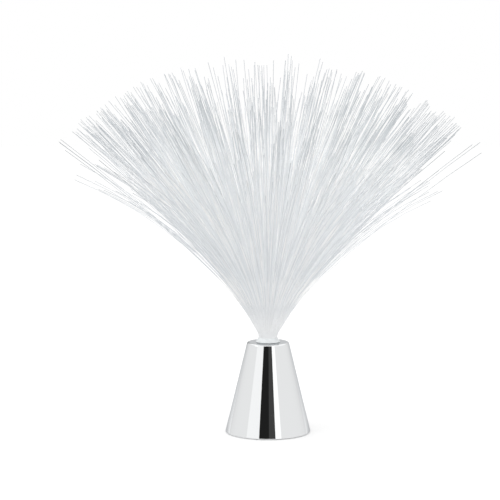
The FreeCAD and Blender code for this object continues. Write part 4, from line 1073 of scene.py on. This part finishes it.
@dataclass
class Studio:
    """Plain pale room: floor, surrounding light, softboxes, reflection cards and camera."""

    floor_size: float = 8.0
    floor_colour: Colour = (0.80, 0.80, 0.80)
    floor_lift_near: float = 0.24
    floor_lift_far: float = 0.38
    floor_near: float = 0.045
    floor_far: float = 0.18
    room_light: float = 0.80
    seen_light: float = 1.0
    camera_distance: float = 1.661
    camera_height: float = 0.3544
    camera_pitch: float = -6.642
    camera_yaw: float = 0.545
    lens: float = 138.0
    sensor_width: float = 36.0
    cards: tuple[Card, ...] = (
        Card("card_dark", -23.8, 3.0, 0.017),
        Card("card_grey", 3.0, 20.4, 0.062),
        Card("card_bright_right", 20.4, 36.5, 1.32),
        Card("card_bright_left", -59.5, -23.8, 1.16),
        Card("card_behind", 150.0, 184.5, 1.12),
        Card("card_back_grey", 184.5, 210.0, 0.7),
        Card("card_ceiling", -180.0, 180.0, 1.3, distance=2.0, top_distance=0.02, foot=1.25, top=2.0,
             steps=36),
    )
    softboxes: tuple[Softbox, ...] = (
        Softbox("softbox_top", (-0.3, -0.5, 2.1), size=1.6, radiance=1.35),
        Softbox("softbox_left", (-2.2, -1.0, 1.3), size=1.2, radiance=1.0),
    )

    def floor(self) -> None:
        """A wide plane that is clear when looked at from below."""
        half = self.floor_size / 2.0
        corners = [(-half, -half, 0.0), (half, -half, 0.0), (half, half, 0.0), (-half, half, 0.0)]
        floor = mesh_object("floor", corners, [(0, 1, 2, 3)])
        material, sheet = blank_material("floor")
        below = sheet.add("NewGeometry").outputs["Backfacing"]
        clear = sheet.add("BsdfTransparent").outputs["BSDF"]
        sided = sheet.put(sheet.add("MixShader"), below, self.floor_shader(sheet), clear)
        sheet.put(sheet.add("OutputMaterial"), sided.outputs["Shader"])
        floor.data.materials.append(material)

    def floor_shader(self, sheet: NodeSheet) -> Socket:
        """Matt and pale, with a glow for rays that show it: weaker near the lamp, to keep its shadow.

        Args:
            sheet: The floor material's sheet.

        Returns:
            The shader's socket.
        """
        matt = sheet.put(sheet.add("BsdfDiffuse"), self.floor_colour).outputs["BSDF"]
        away = sheet.put(sheet.add("VectorMath", operation="LENGTH"), sheet.place())
        lift = sheet.band(away.outputs["Value"], self.floor_near, self.floor_far,
                          self.floor_lift_near, self.floor_lift_far)
        glow = sheet.put(sheet.add("Emission"), Strength=lift)
        total = sheet.put(sheet.add("AddShader"), matt, glow.outputs["Emission"])
        lifted = sheet.put(sheet.add("MixShader"), self.seen_rays(sheet), matt, total.outputs["Shader"])
        return lifted.outputs["Shader"]

    def seen_rays(self, sheet: NodeSheet) -> Socket:
        """1 for rays that show a surface: from the camera, off a gloss or through glass.

        Args:
            sheet: The material's or world's sheet.

        Returns:
            The result's socket.
        """
        path = sheet.add("LightPath")
        shown = sheet.arithmetic("ADD", path.outputs["Is Camera Ray"], path.outputs["Is Glossy Ray"])
        return sheet.arithmetic("ADD", shown, path.outputs["Is Transmission Ray"], clamp=True)

    def world(self) -> None:
        """White where it is seen, and a plain light level for everything else."""
        world = bpy.data.worlds.new("room")
        bpy.context.scene.world = world
        world.use_nodes = True
        sheet = NodeSheet(world.node_tree)
        level = sheet.band(self.seen_rays(sheet), 0.0, 1.0, self.room_light, self.seen_light)
        background = sheet.put(sheet.add("Background"), (1.0, 1.0, 1.0), level)
        sheet.put(sheet.add("OutputWorld"), background.outputs["Background"])

    def camera(self) -> None:
        """A long lens, a little above the lamp, that looks slightly down."""
        data = bpy.data.cameras.new("camera")
        data.lens = self.lens
        data.sensor_width = self.sensor_width
        camera = bpy.data.objects.new("camera", data)
        bpy.context.collection.objects.link(camera)
        camera.location = (0.0, -self.camera_distance, self.camera_height)
        camera.rotation_euler = (math.radians(90.0 + self.camera_pitch), 0.0, math.radians(self.camera_yaw))
        bpy.context.scene.camera = camera

    def build(self) -> None:
        """Set up the whole room."""
        self.camera()
        self.floor()
        self.world()
        for fitting in (*self.cards, *self.softboxes):
            fitting.build()
        bpy.context.scene.view_settings.view_transform = "Standard"


# --- The lamp ---
def lamp_nodes() -> list[DressedNodes]:
    """The sub-assemblies made of the frame's own nodes.

    Returns:
        The cone, the lamp holder, the electronics, the battery bay, the switch and the spray's head.
    """
    white = MouldedPlastic("white_plastic", (0.82, 0.82, 0.80), roughness=0.42)
    black = MouldedPlastic("black_plastic", (0.05, 0.05, 0.052), roughness=0.46, grain_depth=0.03 * MM)
    chip = MouldedPlastic("chip_black", (0.03, 0.03, 0.032), roughness=0.55)
    red = MouldedPlastic("red_insulation", (0.55, 0.03, 0.025), roughness=0.35, grain_depth=0.005 * MM)
    dark = MouldedPlastic("black_insulation", (0.025, 0.025, 0.025), roughness=0.35,
                          grain_depth=0.005 * MM)
    steel = Metal("plated_steel")
    tinned = Metal("tinned_wire", (0.75, 0.75, 0.74), roughness=0.32)
    return [
        DressedNodes("cone", {
            "cone_shell": MirrorPlating("plated_cone"),
            "base_plate": black, "base_screws": steel, "foot_pads": Rubber("black_rubber")}),
        DressedNodes("lamp holder", {
            "lamp_holder": white, "holder_screws": steel, "reflector_sleeve": white,
            "grip_ring": Rubber("grey_rubber", (0.2, 0.2, 0.2))}),
        DressedNodes("electronics", {
            "led_board": SolderMask("circuit_board"), "board_screws": steel, "led_leads": tinned,
            "led_red": TintedLens("red_lens", (0.85, 0.16, 0.13)),
            "led_green": TintedLens("green_lens", (0.2, 0.7, 0.25)),
            "led_blue": TintedLens("blue_lens", (0.15, 0.3, 0.85)),
            "control_chip": chip, "board_resistors": chip}),
        DressedNodes("battery bay", {
            "battery_cells": CellWrap("battery_wrap"), "contact_positive": steel, "contact_negative": steel,
            "contact_links": steel, "contact_springs": steel, "battery_door": black,
            "door_hinge_pin": steel}),
        DressedNodes("switch and wires", {
            "switch_housing": steel, "switch_knob": black, "switch_terminals": tinned,
            "switch_screws": steel, "wire_positive": red, "wire_switched": red, "wire_negative": dark}),
        DressedNodes("spray head", {
            "ferrule": white, "bundle_end": PolishedBundle("clear_resin"),
            "collar": MilkyPlastic("milky_plastic")}),
    ]


def main() -> None:
    """Load the frame, set up the room, and make and dress every piece."""
    logging.basicConfig(level=logging.INFO, format="%(message)s")
    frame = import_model()
    Studio().build()
    for group in lamp_nodes():
        group.build(frame["nodes"])
    StrandSpray().build()
    StrandsBetween().build()
    DroopingStrands().build()


if __name__ == "__main__":
    main()
